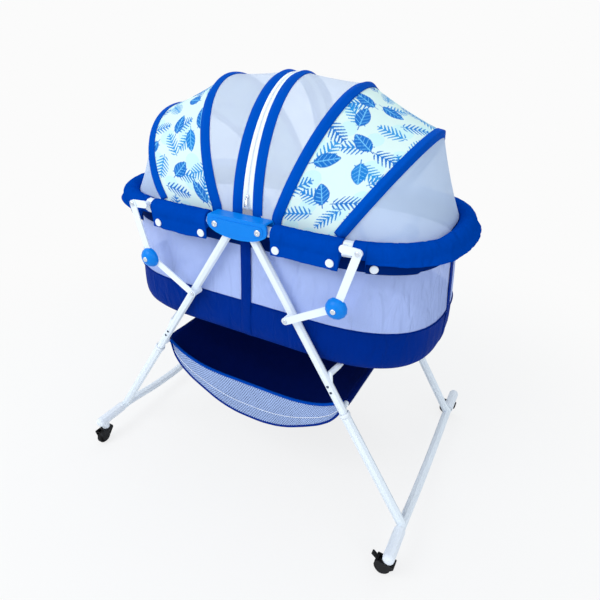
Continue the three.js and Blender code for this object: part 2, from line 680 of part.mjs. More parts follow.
// Room for the wheel and the pedal between the cheeks
function forkSlot() {
  const room = WHEEL_RADIUS + WHEEL_ROOM;
  const reach = WHEEL_TRAIL + 3 * WHEEL_RADIUS;
  const shape = new THREE.Shape();
  shape.moveTo(-reach, -1);
  shape.lineTo(wheelCentre.x + room, -1);
  shape.absarc(wheelCentre.x, wheelCentre.y, room, 0, Math.PI * 0.42, false);
  shape.lineTo(pedalPin.x + 2.2 * PEDAL_BARREL_RADIUS, forkTop + 1);
  shape.lineTo(-reach, forkTop + 1);
  return shape;
}

function makeWheel() {
  const half = WHEEL_WIDTH / 2;
  const bore = AXLE_RADIUS + CLEARANCE;
  const face = [
    [bore, half], [WHEEL_RADIUS * WHEEL_SHARES.hub, half],
    [WHEEL_RADIUS * WHEEL_SHARES.dish, half - WHEEL_DISH],
    [WHEEL_RADIUS * WHEEL_SHARES.shoulder, half], [WHEEL_RADIUS, half * WHEEL_SHARES.tread],
  ];
  const far = face.map(([radius, depth]) => [radius, -depth]);
  return revolve([...far, ...face.reverse(), far[0]], WHEEL_SIDES)
    .translate(wheelCentre.x, 0, wheelCentre.y);
}

function makePedal() {
  const half = PEDAL_WIDTH / 2;
  const tilt = THREE.MathUtils.degToRad(PEDAL_TILT);
  const barrel = pin(pedalPin.x, pedalPin.y, PEDAL_BARREL_RADIUS, -half, half);
  const blade = new THREE.BoxGeometry(PEDAL_LENGTH, PEDAL_WIDTH, PEDAL_THICKNESS);
  blade.translate(-PEDAL_LENGTH / 2, 0, 0).rotateY(tilt).translate(pedalPin.x, 0, pedalPin.y);
  const hole = pin(
    pedalPin.x, pedalPin.y, holeRadius(PEDAL_PIN_RADIUS, SMALL_SIDES),
    -PEDAL_WIDTH, PEDAL_WIDTH, SMALL_SIDES);
  return cut(join(barrel, blade), hole);
}

// Cloth cradle, mattress and basket

const bagTop = RAIL_HEIGHT - BAG_TOP_DROP;
const bagInset = Math.sqrt(SLEEVE_RADIUS ** 2 - BAG_TOP_DROP ** 2) + CLEARANCE;
const bagLength = RAIL_HALF_LENGTH - bagInset;
const bagWidth = RAIL_HALF_WIDTH - bagInset;

function bagLevels(inset) {
  const level = (share, height) =>
    [bagLength + BAG_BULGE.long * share - inset, bagWidth + BAG_BULGE.wide * share - inset, height];
  return [
    level(0, bagTop),
    level(BAG_BULGE_SHARE, bagTop - (bagTop - BAND_TOP) / 4),
    level(1, BAND_TOP),
  ];
}

function tubLevels(inset, floor) {
  const full = [bagLength + BAG_BULGE.long - inset, bagWidth + BAG_BULGE.wide - inset];
  const rise = BAND_TOP - BAG_BOTTOM;
  return TUB_SHARES.map(([drawnIn, up]) =>
    [...full.map((size) => size - BAG_BOTTOM_INSET * drawnIn), floor + rise * up]);
}

function makeBagWall() {
  const through = bagLevels(BAG_WALL);
  through[0][2] += 1;
  through[2][2] -= 1;
  return cut(ovalStack(bagLevels(0)), ovalStack(through));
}

function makeBagTub() {
  const rim = BAND_TOP - CLEARANCE;
  const outer = [...tubLevels(0, BAG_BOTTOM), [...bagLevels(0)[2].slice(0, 2), rim]];
  const mouth = [...bagLevels(BAG_WALL)[2].slice(0, 2), rim + 1];
  const inner = [...tubLevels(BAG_WALL, BAG_BOTTOM + BAG_WALL), mouth];
  return cut(ovalStack(outer), ovalStack(inner));
}

// Mattress pad: crowned, with its sides drawn in at top and bottom
function makeMattress() {
  const floor = BAG_BOTTOM + BAG_WALL + CLEARANCE;
  const length = bagLength + BAG_BULGE.long - BAG_WALL - BAG_BOTTOM_INSET - MATTRESS_INSET;
  const width = bagWidth + BAG_BULGE.wide - BAG_WALL - BAG_BOTTOM_INSET - MATTRESS_INSET;
  const top = floor + MATTRESS_THICKNESS;
  const swell = MATTRESS_INSET / 2;
  const crown = MATTRESS_CROWN_SHARES.map(([long, wide, down]) =>
    [length * long, width * wide, top - MATTRESS_CROWN * down]);
  return ovalStack([
    [length - swell, width - swell, floor],
    [length + swell, width + swell, floor + MATTRESS_THICKNESS * MATTRESS_SEAM_SHARE],
    ...crown,
  ]);
}

// Basket: a sling between the rods with upright front and rear walls whose edges sag
function basketShape(lining, lift) {
  const rodSide = rodPlace.x - ROD_RADIUS - CLEARANCE;
  const half = BASKET_SHARES.map(([out, up]) =>
    new THREE.Vector2(rodSide * out, rodPlace.y - BASKET_DEPTH * (1 - up)));
  const under = [...half, ...half.map((p) => new THREE.Vector2(-p.x, p.y)).reverse()];
  const bottom = under.map((p, i) => {
    const before = under[Math.max(i - 1, 0)];
    const after = under[Math.min(i + 1, under.length - 1)];
    const along = after.clone().sub(before).normalize();
    return new THREE.Vector2(p.x + along.y * lining, p.y - along.x * lining);
  });
  const edge = [...under].reverse().slice(1, -1).map((p) => {
    const sag = BASKET_EDGE_SAG * (1 - Math.abs(p.x / rodSide) ** BASKET_EDGE_POWER);
    return new THREE.Vector2(p.x, rodPlace.y - sag + lift);
  });
  return new THREE.Shape([...bottom, ...edge]);
}

function makeBasket() {
  const outer = plate(basketShape(0, 0), -BASKET_HALF_WIDTH, BASKET_HALF_WIDTH);
  const room = BASKET_HALF_WIDTH - BASKET_WALL;
  return cut(outer, plate(basketShape(BASKET_WALL, BASKET_EDGE_SAG), -room, room));
}

// Canopy hoops and the cloth between them

function hoopHalfWidth(hoop) {
  return railWidthAt(hoop.foot) - hoop.inset;
}

function hoopPoint(hoop, angle) {
  const power = 2 / hoop.roundness;
  const rise = Math.max(Math.sin(angle), 0) ** power;
  const across = Math.sign(Math.cos(angle)) * Math.abs(Math.cos(angle)) ** power;
  return new THREE.Vector3(
    hoop.foot + (hoop.apex - hoop.foot) * rise, -hoopHalfWidth(hoop) * across,
    RAIL_HEIGHT + HOOP_FOOT_RISE + (hoop.rise - HOOP_FOOT_RISE) * rise);
}

function makeHoop(hoop, feet) {
  const arch = Array.from({ length: ARCH_STEPS + 1 }, (_, i) =>
    hoopPoint(hoop, NET_START_ANGLE + ((Math.PI - 2 * NET_START_ANGLE) * i) / ARCH_STEPS));
  const front = feet.map(([x, z]) => new THREE.Vector3(x, -hoopHalfWidth(hoop), z));
  const rear = front.map((p) => new THREE.Vector3(p.x, -p.y, p.z)).reverse();
  return tube([...front, ...arch, ...rear], HOOP_RADIUS, HOOP_STEPS + 4 * feet.length, 6);
}

// Thin cloth stretched between two edges, each given as points front to rear, sagging between them
function cloth(edgeA, edgeB, standOffA, standOffB, sag) {
  const rings = edgeA.map((a, i) => {
    const b = edgeB[i];
    const before = edgeA[Math.max(i - 1, 0)];
    const after = edgeA[Math.min(i + 1, edgeA.length - 1)];
    const along = after.clone().sub(before).normalize();
    const across = b.clone().sub(a).normalize();
    const normal = along.clone().cross(across);
    const slant = normal.length();
    normal.normalize();
    const start = a.clone().addScaledVector(across, standOffA / slant);
    const end = b.clone().addScaledVector(across, -standOffB / slant);
    const face = (offset) => NET_ROWS.map((row) =>
      start.clone().lerp(end, row).addScaledVector(normal, offset + 4 * sag * row * (1 - row)));
    return [...face(NET_THICKNESS / 2), ...face(-NET_THICKNESS / 2).reverse()];
  });
  const flat = NET_ROWS.map((row) => new THREE.Vector2(row, 0));
  const lifted = NET_ROWS.map((row) => new THREE.Vector2(row, 1)).reverse();
  return loft(rings, [...flat, ...lifted]);
}

function hoopEdge(hoop, startAngle) {
  return Array.from({ length: HOOP_STEPS + 1 }, (_, i) =>
    hoopPoint(hoop, startAngle + ((Math.PI - 2 * startAngle) * i) / HOOP_STEPS));
}

function makeGore(hoopA, hoopB) {
  const standOff = HOOP_RADIUS + CLEARANCE;
  return cloth(
    hoopEdge(hoopA, NET_START_ANGLE), hoopEdge(hoopB, NET_START_ANGLE), standOff, standOff, -NET_SAG);
}

function makeEndNet() {
  const start = railShareAt(OUTER_HOOP.foot + 4 * HOOP_RADIUS);
  const inset = SLEEVE_RADIUS + NET_RIM_INSET;
  const rim = Array.from({ length: HOOP_STEPS + 1 }, (_, i) => {
    const share = start + ((1 - 2 * start) * i) / HOOP_STEPS;
    const at = railPath.getPointAt(share);
    const along = railPath.getTangentAt(share);
    return new THREE.Vector3(at.x - along.y * inset, at.y + along.x * inset, at.z + NET_RIM_RISE);
  });
  return cloth(hoopEdge(OUTER_HOOP, NET_START_ANGLE), rim, HOOP_RADIUS + RUNNING_GAP, 0, NET_SAG);
}

// Height where the leaning foot of a hoop stands on the sleeve's roll
function sleeveTopAt(hoop) {
  const off = hoop.inset - HOOP_RADIUS;
  const lean = Math.atan2(hoop.apex - hoop.foot, hoop.rise - HOOP_FOOT_RISE);
  const tilt = HOOP_RADIUS * Math.sin(lean);
  return RAIL_HEIGHT + Math.sqrt(SLEEVE_RADIUS ** 2 - off ** 2) + tilt + CLEARANCE;
}

// Assembly

add("bracket_front", makeBracket(), AZURE_PLASTIC);
add("bracket_rear", mirror(makeBracket(), 1, -1), AZURE_PLASTIC);
add("bag_wall", makeBagWall(), PALE_NET);
add("bag_tub", makeBagTub(), NAVY_CLOTH);
add("mattress", makeMattress(), MATTRESS_CLOTH);
add("basket", makeBasket(), DARK_CLOTH);

addBySide("rail", makeRail(), WHITE_METAL);
addBySide("rail_sleeve", makeSleeve(), NAVY_CLOTH);
addByCorner("rail_clip", makeClip(), WHITE_METAL);
addByCorner("upper_stay", makeUpperStay(), WHITE_METAL);
addByCorner("lower_stay", makeLowerStay(), WHITE_METAL);
addByCorner("stay_knob", makeKnob(), AZURE_PLASTIC);

addBySide("upper_leg_frame", makeUpperLegFrame(), WHITE_METAL);
addBySide("lower_leg_frame", makeLowerLegFrame(), WHITE_METAL);
addBySide("basket_rod", makeBasketRod(), WHITE_METAL);
addByCorner("foot_cap", makeFootCap(), WHITE_PLASTIC);

// The right castors trail inwards, the left ones are swivelled to trail along the foot bar
function addCastorPiece(name, geometry, sides = SIDES) {
  for (const [end, signY] of ENDS) {
    for (const [side, signX] of sides) {
      const turned = geometry.clone().rotateZ(signX < 0 ? Math.PI / 2 : 0);
      turned.translate(signX * FOOT_X, -CASTOR_Y, 0);
      add(`${name}_${end}_${side}`, mirror(turned, 1, signY), BLACK_PLASTIC);
    }
  }
}

addCastorPiece("castor_fork", makeFork());
addCastorPiece("castor_wheel", makeWheel());
addCastorPiece("brake_pedal", makePedal(), [["right", 1]]);

addBySide("outer_hoop", makeHoop(OUTER_HOOP, [[OUTER_HOOP.foot, sleeveTopAt(OUTER_HOOP)]]), DARK_CLOTH);
const hoopPivotHeight = RAIL_HEIGHT + HOOP_PIVOT_RISE;
addBySide("middle_hoop", makeHoop(MIDDLE_HOOP, [[MIDDLE_HOOP.foot, hoopPivotHeight - 4]]), DARK_CLOTH);
addBySide("centre_hoop", makeHoop(CENTRE_HOOP, [
  [MIDDLE_HOOP.foot + HOOP_RADIUS, hoopPivotHeight],
  [CENTRE_HOOP.foot + 5 * HOOP_RADIUS, hoopPivotHeight],
]), DARK_CLOTH);
addBySide("end_net", makeEndNet(), PALE_NET);
addBySide("printed_panel", makeGore(OUTER_HOOP, MIDDLE_HOOP), PRINT_CLOTH);
addBySide("net_panel", makeGore(MIDDLE_HOOP, CENTRE_HOOP), PALE_NET);

export default bassinet;
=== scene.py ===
import math

import bmesh
import bpy
import numpy as np
from mathutils import Matrix, Vector


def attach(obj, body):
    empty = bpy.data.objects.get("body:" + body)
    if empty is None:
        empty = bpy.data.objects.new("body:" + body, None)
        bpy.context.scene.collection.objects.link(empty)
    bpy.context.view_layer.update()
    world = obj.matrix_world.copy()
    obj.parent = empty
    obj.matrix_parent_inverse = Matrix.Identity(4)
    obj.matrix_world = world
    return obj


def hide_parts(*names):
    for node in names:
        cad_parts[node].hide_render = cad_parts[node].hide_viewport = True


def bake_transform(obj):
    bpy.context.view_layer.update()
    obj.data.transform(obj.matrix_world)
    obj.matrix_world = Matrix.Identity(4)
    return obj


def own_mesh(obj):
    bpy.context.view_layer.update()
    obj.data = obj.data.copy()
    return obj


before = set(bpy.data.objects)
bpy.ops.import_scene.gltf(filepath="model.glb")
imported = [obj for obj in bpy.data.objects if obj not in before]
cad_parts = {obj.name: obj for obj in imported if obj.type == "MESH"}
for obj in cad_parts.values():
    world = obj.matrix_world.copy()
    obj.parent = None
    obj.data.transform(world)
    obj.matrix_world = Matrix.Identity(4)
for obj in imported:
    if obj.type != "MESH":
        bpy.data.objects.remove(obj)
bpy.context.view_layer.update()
MM = 0.001
SIDES = (("left", -1), ("right", 1))
ENDS = (("front", -1), ("rear", 1))

# Sizes of the frame that the soft parts hang on, in millimetres
# Top rail: height, half length, half width, straight stretch and roundness of its ends
RAIL_Z = 705.0
RAIL_L = 398.0
RAIL_W = 222.0
RAIL_START = 40.0
STRAIGHT = 150.0
ROUND = 2.7
# Sleeve on the rail: its ends, the gap for the clip, its radii, and the flare round the end
SLEEVE_START = 78.0
CLIP_X = 234.0
CLIP_GAP = 9.5
ROLL = 18.5
BARE_FRONT = 17.6
BARE_BACK = 17.8
LINER = 13.1
FLARE_START = 275.0
FLARE_ANGLE = 36.0
# Flap of the sleeve: where it is cut away, its end, its top and its distance from the rail
FLAP_CUT = (221.0, 268.0)
FLAP_END = 366.0
FLAP_ROOT = 18.6
FLAP_BACK = 12.0
# Canopy wires: foot, apex, top, half width, roundness, height of the wire's ends
HOOPS = {
    "outer": (210.0, 319.0, 891.0, 209.8, 1.9, 721.0),
    "middle": (69.0, 158.0, 967.0, 202.0, 2.05, 708.5),
    "centre": (25.0, 19.5, 980.0, 196.0, 1.9, 711.0),
}
HOOP_FOOT = 722.0
RIM_INSET = 18.9
RIM_LIFT = 4.0
BAND_HEIGHT = 4.3
CANOPY_INSIDE = np.array([60.0, 0.0, 700.0])
# Bag: half sizes at its top, how much larger it is at the navy band, heights, and length round it
BAG_L = 380.2
BAG_W = 204.2
BAND_MORE_L = 18.0
BAND_MORE_W = 4.5
BAG_TOP = 699.0
BAND_TOP = 522.0
BAG_BOTTOM = 425.0
BAG_ROUND = 2120.0
STRAP_THICK = 1.3
# Basket and its rods
ROD_X = 252.5
ROD_Z = 336.0
BASKET_HALF = 196.0
# Legs: place of the upper hinge, run and drop down to the foot, and heights of the fittings
LEG_TOP_X = 16.0
LEG_RUN = 407.7
LEG_DROP = 636.0
SLOT_MARK_HEIGHTS = (376.0, 389.0)
COLLAR_HEIGHT = 327.0


# Materials

def lin(c):
    c /= 255
    return c / 12.92 if c <= 0.04045 else ((c + 0.055) / 1.055) ** 2.4


def rgb(r, g, b):
    return (lin(r), lin(g), lin(b), 1.0)


class Tree:
    """Short hand for adding shader nodes to a tree and linking them."""

    def __init__(self, owner):
        owner.use_nodes = True
        self.tree = owner.node_tree

    def add(self, kind, **values):
        node = self.tree.nodes.new("ShaderNode" + kind)
        for key, value in values.items():
            if key.startswith("in_"):
                node.inputs[key[3:].replace("_", " ")].default_value = value
            else:
                setattr(node, key, value)
        return node

    def link(self, a, b):
        self.tree.links.new(a, b)

    def feed(self, socket, x):
        """A number or a colour is set on the socket, and an output is linked to it."""
        if isinstance(x, (tuple, float, int)):
            socket.default_value = x
        else:
            self.link(x, socket)

    def math(self, operation, a, b, clamp=False):
        node = self.add("Math", operation=operation, use_clamp=clamp)
        for socket, x in zip(node.inputs, (a, b)):
            self.feed(socket, x)
        return node.outputs[0]

    def ranged(self, value, low, high, from_low=0.0, from_high=1.0, ease="LINEAR"):
        node = self.add("MapRange", interpolation_type=ease)
        self.link(value, node.inputs["Value"])
        for key, x in (("From Min", from_low), ("From Max", from_high), ("To Min", low), ("To Max", high)):
            node.inputs[key].default_value = x
        return node.outputs["Result"]

    def mix(self, factor, a, b):
        node = self.add("Mix", data_type="RGBA")
        for i, x in ((0, factor), (6, a), (7, b)):
            self.feed(node.inputs[i], x)
        return node.outputs[2]

    def show(self, factor, a, b, output):
        """Shader a where the factor is 0 and shader b where it is 1."""
        mix = self.add("MixShader")
        for socket, source in zip(mix.inputs, (factor, a.outputs[0], b.outputs[0])):
            self.link(source, socket)
        self.link(mix.outputs[0], self.tree.nodes[output].inputs["Surface"])

    def coords(self, name):
        return self.add("TexCoord").outputs[name]


class Nodes(Tree):
    """One material, with its principled shader and the textures that feed it."""

    def __init__(self, name):
        self.mat = bpy.data.materials.new(name)
        super().__init__(self.mat)
        self.bsdf = self.tree.nodes["Principled BSDF"]

    def noise(self, vector, scale, detail=3.0, rough=0.55):
        node = self.add("TexNoise", in_Scale=scale, in_Detail=detail, in_Roughness=rough)
        self.link(vector, node.inputs["Vector"])
        return node.outputs["Fac"]

    def lines(self, vector, period, turn=0.0):
        """Bands of the given period in metres across a turned direction of the vector."""
        spin = self.add("VectorRotate", rotation_type="Z_AXIS", in_Angle=math.radians(turn))
        self.link(vector, spin.inputs["Vector"])
        wave = self.add("TexWave", bands_direction="X", in_Scale=math.pi / 10 / period)
        self.link(spin.outputs[0], wave.inputs["Vector"])
        return wave.outputs["Fac"]

    def bump(self, height, strength, distance):
        node = self.add("Bump", in_Strength=strength, in_Distance=distance)
        self.link(height, node.inputs["Height"])
        self.link(node.outputs[0], self.bsdf.inputs["Normal"])

    def creases(self, depth):
        """Folds that run mostly up and down, under the fine bump."""
        flat = self.add("Mapping", in_Scale=(1.0, 1.0, 0.35))
        self.link(self.coords("Object"), flat.inputs["Vector"])
        folds = self.add("TexNoise", in_Scale=34.0, in_Detail=2.0, in_Roughness=0.5, in_Distortion=0.8)
        self.link(flat.outputs[0], folds.inputs["Vector"])
        under = self.add("Bump", in_Strength=1.0, in_Distance=depth)
        self.link(folds.outputs["Fac"], under.inputs["Height"])
        fine = self.bsdf.inputs["Normal"].links[0].from_node
        self.link(under.outputs[0], fine.inputs["Normal"])

    def set(self, **values):
        for key, value in values.items():
            self.bsdf.inputs[key.replace("_", " ")].default_value = value


def shade(n, colour, factor, tone):
    dark = tuple(c * (1 - tone) for c in colour[:3]) + (1.0,)
    light = tuple(min(c * (1 + tone), 1.0) for c in colour[:3]) + (1.0,)
    return n.mix(factor, dark, light)


def cloth(name, colour, period=0.0012, tone=0.14, rough=0.86, sheen=0.04, crease=0.0, gloss=0.06):
    """Plain weave with uneven dye, a faint sheen of its own colour, and creases of a depth in metres."""
    n = Nodes(name)
    uv = n.coords("UV")
    weave = n.math("MULTIPLY", n.lines(uv, period), n.lines(uv, period, 90))
    patches = n.noise(n.coords("Object"), 14.0)
    fibre = n.noise(n.coords("Object"), 420.0, 2.0)
    mixed = n.math("ADD", n.math("MULTIPLY", patches, 0.65), n.math("MULTIPLY", fibre, 0.35))
    tone_in = n.math("ADD", mixed, n.math("MULTIPLY", n.math("SUBTRACT", weave, 0.35), 0.35), clamp=True)
    n.link(shade(n, colour, tone_in, tone), n.bsdf.inputs["Base Color"])
    n.link(n.ranged(patches, rough - 0.07, rough + 0.07), n.bsdf.inputs["Roughness"])
    n.bump(n.math("ADD", weave, n.math("MULTIPLY", fibre, 0.6)), 0.35, 0.0004)
    if crease:
        n.creases(crease)
    n.set(Sheen_Weight=sheen, Sheen_Roughness=0.45, Sheen_Tint=colour)
    tint = tuple(c / max(colour[:3]) for c in colour[:3]) + (1.0,)
    n.set(Specular_IOR_Level=gloss, Specular_Tint=tint)
    return n.mat


def net(name, colour, low, high, period, crease=0.0):
    """Knitted net: crossing threads, with a low cover between them and a high one on them."""
    n = Nodes(name)
    uv = n.coords("UV")
    threads = n.math("MAXIMUM", n.lines(uv, period, 45), n.lines(uv, period, -45))
    patches = n.noise(n.coords("Object"), 9.0)
    n.link(shade(n, colour, patches, 0.05), n.bsdf.inputs["Base Color"])
    cover = n.ranged(threads, low, high, 0.35, 0.95)
    uneven = n.ranged(patches, -0.04, 0.04)
    n.link(n.math("ADD", cover, uneven, clamp=True), n.bsdf.inputs["Alpha"])
    n.bump(threads, 0.25, 0.0003)
    if crease:
        n.creases(crease)
    n.set(Roughness=0.85, Specular_IOR_Level=0.1)
    return n.mat


def printed(name):
    """Printed cotton: the leaf print sits in a colour attribute, over a fine weave."""
    n = Nodes(name)
    uv = n.coords("UV")
    weave = n.math("MULTIPLY", n.lines(uv, 0.0011), n.lines(uv, 0.0011, 90))
    ink = n.add("VertexColor", layer_name="print").outputs["Color"]
    faded = n.mix(n.ranged(n.noise(n.coords("Object"), 60.0), 0.0, 0.04), ink, (0.9, 0.97, 1.0, 1.0))
    n.link(faded, n.bsdf.inputs["Base Color"])
    n.bump(weave, 0.25, 0.0003)
    n.set(Roughness=0.85, Specular_IOR_Level=0.02)
    return n.mat


def moulded(name, colour, rough, tone=0.06, coat=0.0, grain=260.0, strength=0.05, metallic=0.0, gloss=0.5):
    """Moulded plastic or coated metal: fine texture, uneven gloss, slight colour drift."""
    n = Nodes(name)
    place = n.coords("Object")
    drift = n.noise(place, 11.0)
    fine = n.noise(place, grain, 2.0)
    n.link(shade(n, colour, drift, tone), n.bsdf.inputs["Base Color"])
    n.link(n.ranged(drift, rough - 0.07, rough + 0.09), n.bsdf.inputs["Roughness"])
    n.bump(fine, strength, 0.0004)
    n.set(Coat_Weight=coat, Coat_Roughness=0.15, Metallic=metallic, Specular_IOR_Level=gloss)
    return n.mat


NAVY = cloth("navy_cloth", rgb(0, 65, 168), rough=0.6, sheen=0.02, crease=0.008, gloss=0.0)
NAVY_DEEP = cloth("navy_tub", rgb(0, 41, 131), tone=0.2, rough=0.65, crease=0.008)
# Darker navy of the hems, also laid on the flaps behind the sleeve's lip as painted shade
HEM_NAVY_AND_PAINTED_SHADE = cloth("navy_hem_and_painted_shade", rgb(0, 34, 104), tone=0.2)
BAND = cloth("navy_band", rgb(0, 77, 182), tone=0.12, period=0.0010)
BASKET_NAVY = cloth("basket_navy", rgb(3, 23, 90), tone=0.25)
BASKET_BLUE = cloth("basket_binding", rgb(0, 66, 168))
ZIP_TAPE = cloth("zip_tape", rgb(240, 248, 248), tone=0.04, period=0.0009)
MATTRESS = cloth("mattress_cloth", rgb(214, 226, 250), tone=0.04)
SEAM = cloth("white_seam", rgb(225, 232, 246), tone=0.05, period=0.0008)
CANOPY_NET = net("canopy_net", rgb(222, 234, 255), 0.46, 0.78, 0.0016)
# The end net's colour is tuned to the weaker light at the canopy's end: painted light
END_NET = net("end_net", rgb(206, 225, 255), 0.60, 0.88, 0.0016)
BAG_NET = net("bag_net", rgb(182, 200, 255), 0.54, 0.9, 0.0021, crease=0.010)
BASKET_NET = net("basket_net", rgb(168, 190, 236), 0.24, 0.98, 0.0046)
PRINT = printed("leaf_print")
WHITE_METAL = moulded("white_metal", rgb(233, 241, 249), 0.36, 0.02, coat=0.15, grain=320.0, strength=0.015)
WHITE_PLASTIC = moulded("white_plastic", rgb(232, 238, 246), 0.42, 0.03, grain=300.0)
AZURE = moulded("azure_plastic", rgb(0, 126, 224), 0.34, 0.08, gloss=0.16)
BLACK = moulded("black_plastic", rgb(12, 12, 14), 0.45, 0.3, gloss=0.2)
RUBBER = moulded("black_wheel", rgb(11, 11, 13), 0.6, 0.3, grain=600.0, strength=0.15, gloss=0.2)
STEEL = moulded("rivet_steel", rgb(214, 220, 228), 0.26, 0.08, metallic=1.0)
# Dark colour of the marks on the legs: painted shade of two slots
SLOT_SHADE = moulded("painted_slot_shade", rgb(40, 52, 74), 0.6, 0.2)


# Mesh building

class Build:
    """Collects grids of points, in millimetres, into one mesh object with metre-true UVs."""

    def __init__(self, name):
        self.name = name
        self.verts = []
        self.faces = []
        self.mats = []
        self.uvs = []
        self.count = 0

    def grid(self, points, wrap_u=False, wrap_v=False, mat=0, cap=False):
        points = np.asarray(points, float)
        nu, nv = points.shape[:2]
        rows = np.arange(nu if wrap_u else nu - 1)
        columns = np.arange(nv if wrap_v else nv - 1)
        i, j = np.meshgrid(rows, columns, indexing="ij")
        corner_i = np.stack([i, i + 1, i + 1, i], -1).reshape(-1, 4)
        corner_j = np.stack([j, j, j + 1, j + 1], -1).reshape(-1, 4)
        faces = (corner_i % nu) * nv + corner_j % nv + self.count
        u = lengths(points, 0, wrap_u)
        v = lengths(points, 1, wrap_v)
        self.uvs.append(np.stack([u[corner_i], v[corner_j]], -1).reshape(-1, 2) * MM)
        self.faces += faces.tolist()
        self.mats += [mat] * len(faces)
        if cap:
            for row in (0, nu - 1):
                self.faces.append([self.count + row * nv + k for k in range(nv)])
                self.uvs.append(np.zeros((nv, 2)))
                self.mats.append(mat)
        self.verts.append(points.reshape(-1, 3))
        self.count += nu * nv
        return self

    def solid(self, points, mat=0):
        """Rings in a row, closed at both ends."""
        return self.grid(points, wrap_v=True, mat=mat, cap=True)

    def done(self, materials, closed=True, weld=True):
        mesh = bpy.data.meshes.new(self.name)
        mesh.from_pydata((np.vstack(self.verts) * MM).tolist(), [], self.faces)
        layer = mesh.uv_layers.new(name="UVMap")
        layer.data.foreach_set("uv", np.vstack(self.uvs).astype(np.float32).ravel())
        mesh.polygons.foreach_set("material_index", self.mats)
        mesh.polygons.foreach_set("use_smooth", [True] * len(self.faces))
        for m in materials:
            mesh.materials.append(m)
        if weld or closed:
            bm = bmesh.new()
            bm.from_mesh(mesh)
            if weld:
                bmesh.ops.remove_doubles(bm, verts=bm.verts, dist=1e-6)
                bmesh.ops.dissolve_degenerate(bm, edges=bm.edges, dist=1e-7)
            if closed:
                bmesh.ops.recalc_face_normals(bm, faces=bm.faces)
            bm.to_mesh(mesh)
            bm.free()
        mesh.update()
        obj = bpy.data.objects.new(self.name, mesh)
        bpy.context.collection.objects.link(obj)
        return obj


def lengths(points, axis, wrap):
    """Running mean length along one axis of a grid, with the closing step where it wraps."""
    if wrap:
        points = np.concatenate([points, points.take([0], axis)], axis)
    steps = np.linalg.norm(np.diff(points, axis=axis), axis=2).mean(1 - axis)
    return np.concatenate([[0.0], np.cumsum(steps)])


def resample(points, count):
    points = np.asarray(points, float)
    s = np.concatenate([[0.0], np.cumsum(np.linalg.norm(np.diff(points, axis=0), axis=1))])
    at = np.linspace(0, s[-1], count)
    return np.stack([np.interp(at, s, points[:, k]) for k in range(points.shape[1])], -1)


def unit(v):
    return v / np.maximum(np.linalg.norm(v, axis=-1, keepdims=True), 1e-9)


def tangents(points, wrap=False):
    if wrap:
        return unit(np.roll(points, -1, 0) - np.roll(points, 1, 0))
    return unit(np.gradient(points, axis=0))


def ring_angles(sides):
    return np.linspace(0, 2 * np.pi, sides, endpoint=False)


def tube(path, radius, sides=10, wrap=False, up=(0.0, 0.0, 1.0)):
    """Rings round a path; the section is turned by the given up direction."""
    path = np.asarray(path, float)
    t = tangents(path, wrap)
    side = unit(np.cross(t, np.broadcast_to(np.array(up, float), t.shape)))
    top = np.cross(side, t)
    a = ring_angles(sides)
    r = np.broadcast_to(radius, len(path))[:, None, None]
    cos, sin = (f(a)[None, :, None] for f in (np.cos, np.sin))
    return path[:, None] + r * (cos * side[:, None] + sin * top[:, None])


def lathe(profile, centre, axis, sides=24):
    """Rings of pairs of radius and height about an axis through a point."""
    z = unit(np.array(axis, float))
    x = unit(np.cross(z, (0.31, 0.17, 0.93)))
    y = np.cross(z, x)
    a = ring_angles(sides)
    ring = np.cos(a)[:, None] * x + np.sin(a)[:, None] * y
    return np.array([np.array(centre) + r * ring + h * z for r, h in profile])


def wander(x, y, seed, scale=1.0):
    """Smooth repeatable unevenness between -1 and 1, from a few crossed waves."""
    rng = np.random.default_rng(seed)
    total = 0.0
    for k in range(6):
        fx, fy = rng.normal(0, 1, 2) * (0.6 + 0.5 * k) / scale
        total = total + np.sin(fx * x + fy * y + rng.uniform(0, 6.28)) / (1 + 0.5 * k)
    return total / 2.6


def at_height(flat, z):
    """Points of a plan, lifted to a height."""
    return np.concatenate([flat, np.full((len(flat), 1), z)], -1)


def flipped(points, sign):
    """Points of the right side, mirrored for the left side where the sign is -1."""
    return np.asarray(points, float) * np.array([sign, 1.0, 1.0])


# The rail's plan

def end_arc(half_l, half_w, straight, count=401):
    a = np.linspace(-np.pi / 2, np.pi / 2, count)
    power = 2 / ROUND
    x = straight + (half_l - straight) * np.maximum(np.cos(a), 0) ** power
    y = half_w * np.sign(np.sin(a)) * np.abs(np.sin(a)) ** power
    return np.stack([x, y], -1)


def rail_line():
    front = np.array([[RAIL_START, -RAIL_W]])
    rear = np.array([[RAIL_START, RAIL_W]])
    return resample(np.vstack([front, end_arc(RAIL_L, RAIL_W, STRAIGHT), rear]), 1601)


RAIL = rail_line()
RAIL_T = tangents(RAIL)
RAIL_S = np.concatenate([[0.0], np.cumsum(np.linalg.norm(np.diff(RAIL, axis=0), axis=1))])


def rail_s(x):
    """Length along the rail where its front half reaches a given x."""
    half = len(RAIL) // 2
    return float(np.interp(x, RAIL[:half, 0], RAIL_S[:half]))


def rail_frame(s):
    """Points of the right rail and their outward directions, as seen from above."""
    p = np.stack([np.interp(s, RAIL_S, RAIL[:, k]) for k in (0, 1)], -1)
    t = unit(np.stack([np.interp(s, RAIL_S, RAIL_T[:, k]) for k in (0, 1)], -1))
    return p, np.stack([t[:, 1], -t[:, 0]], -1)


def rail_points(s, section):
    """Grid of a section (outward, up), which may change along the rail."""
    p, out = rail_frame(s)
    section = np.broadcast_to(section, (len(s),) + np.shape(section)[-2:])
    flat = p[:, None] + out[:, None] * section[..., :1]
    return np.concatenate([flat, RAIL_Z + section[..., 1:]], -1)


# Padded sleeve with a snapped flap

def circle_points(radius, degrees):
    a = np.radians(degrees)
    return np.stack([radius * np.cos(a), radius * np.sin(a)], -1)


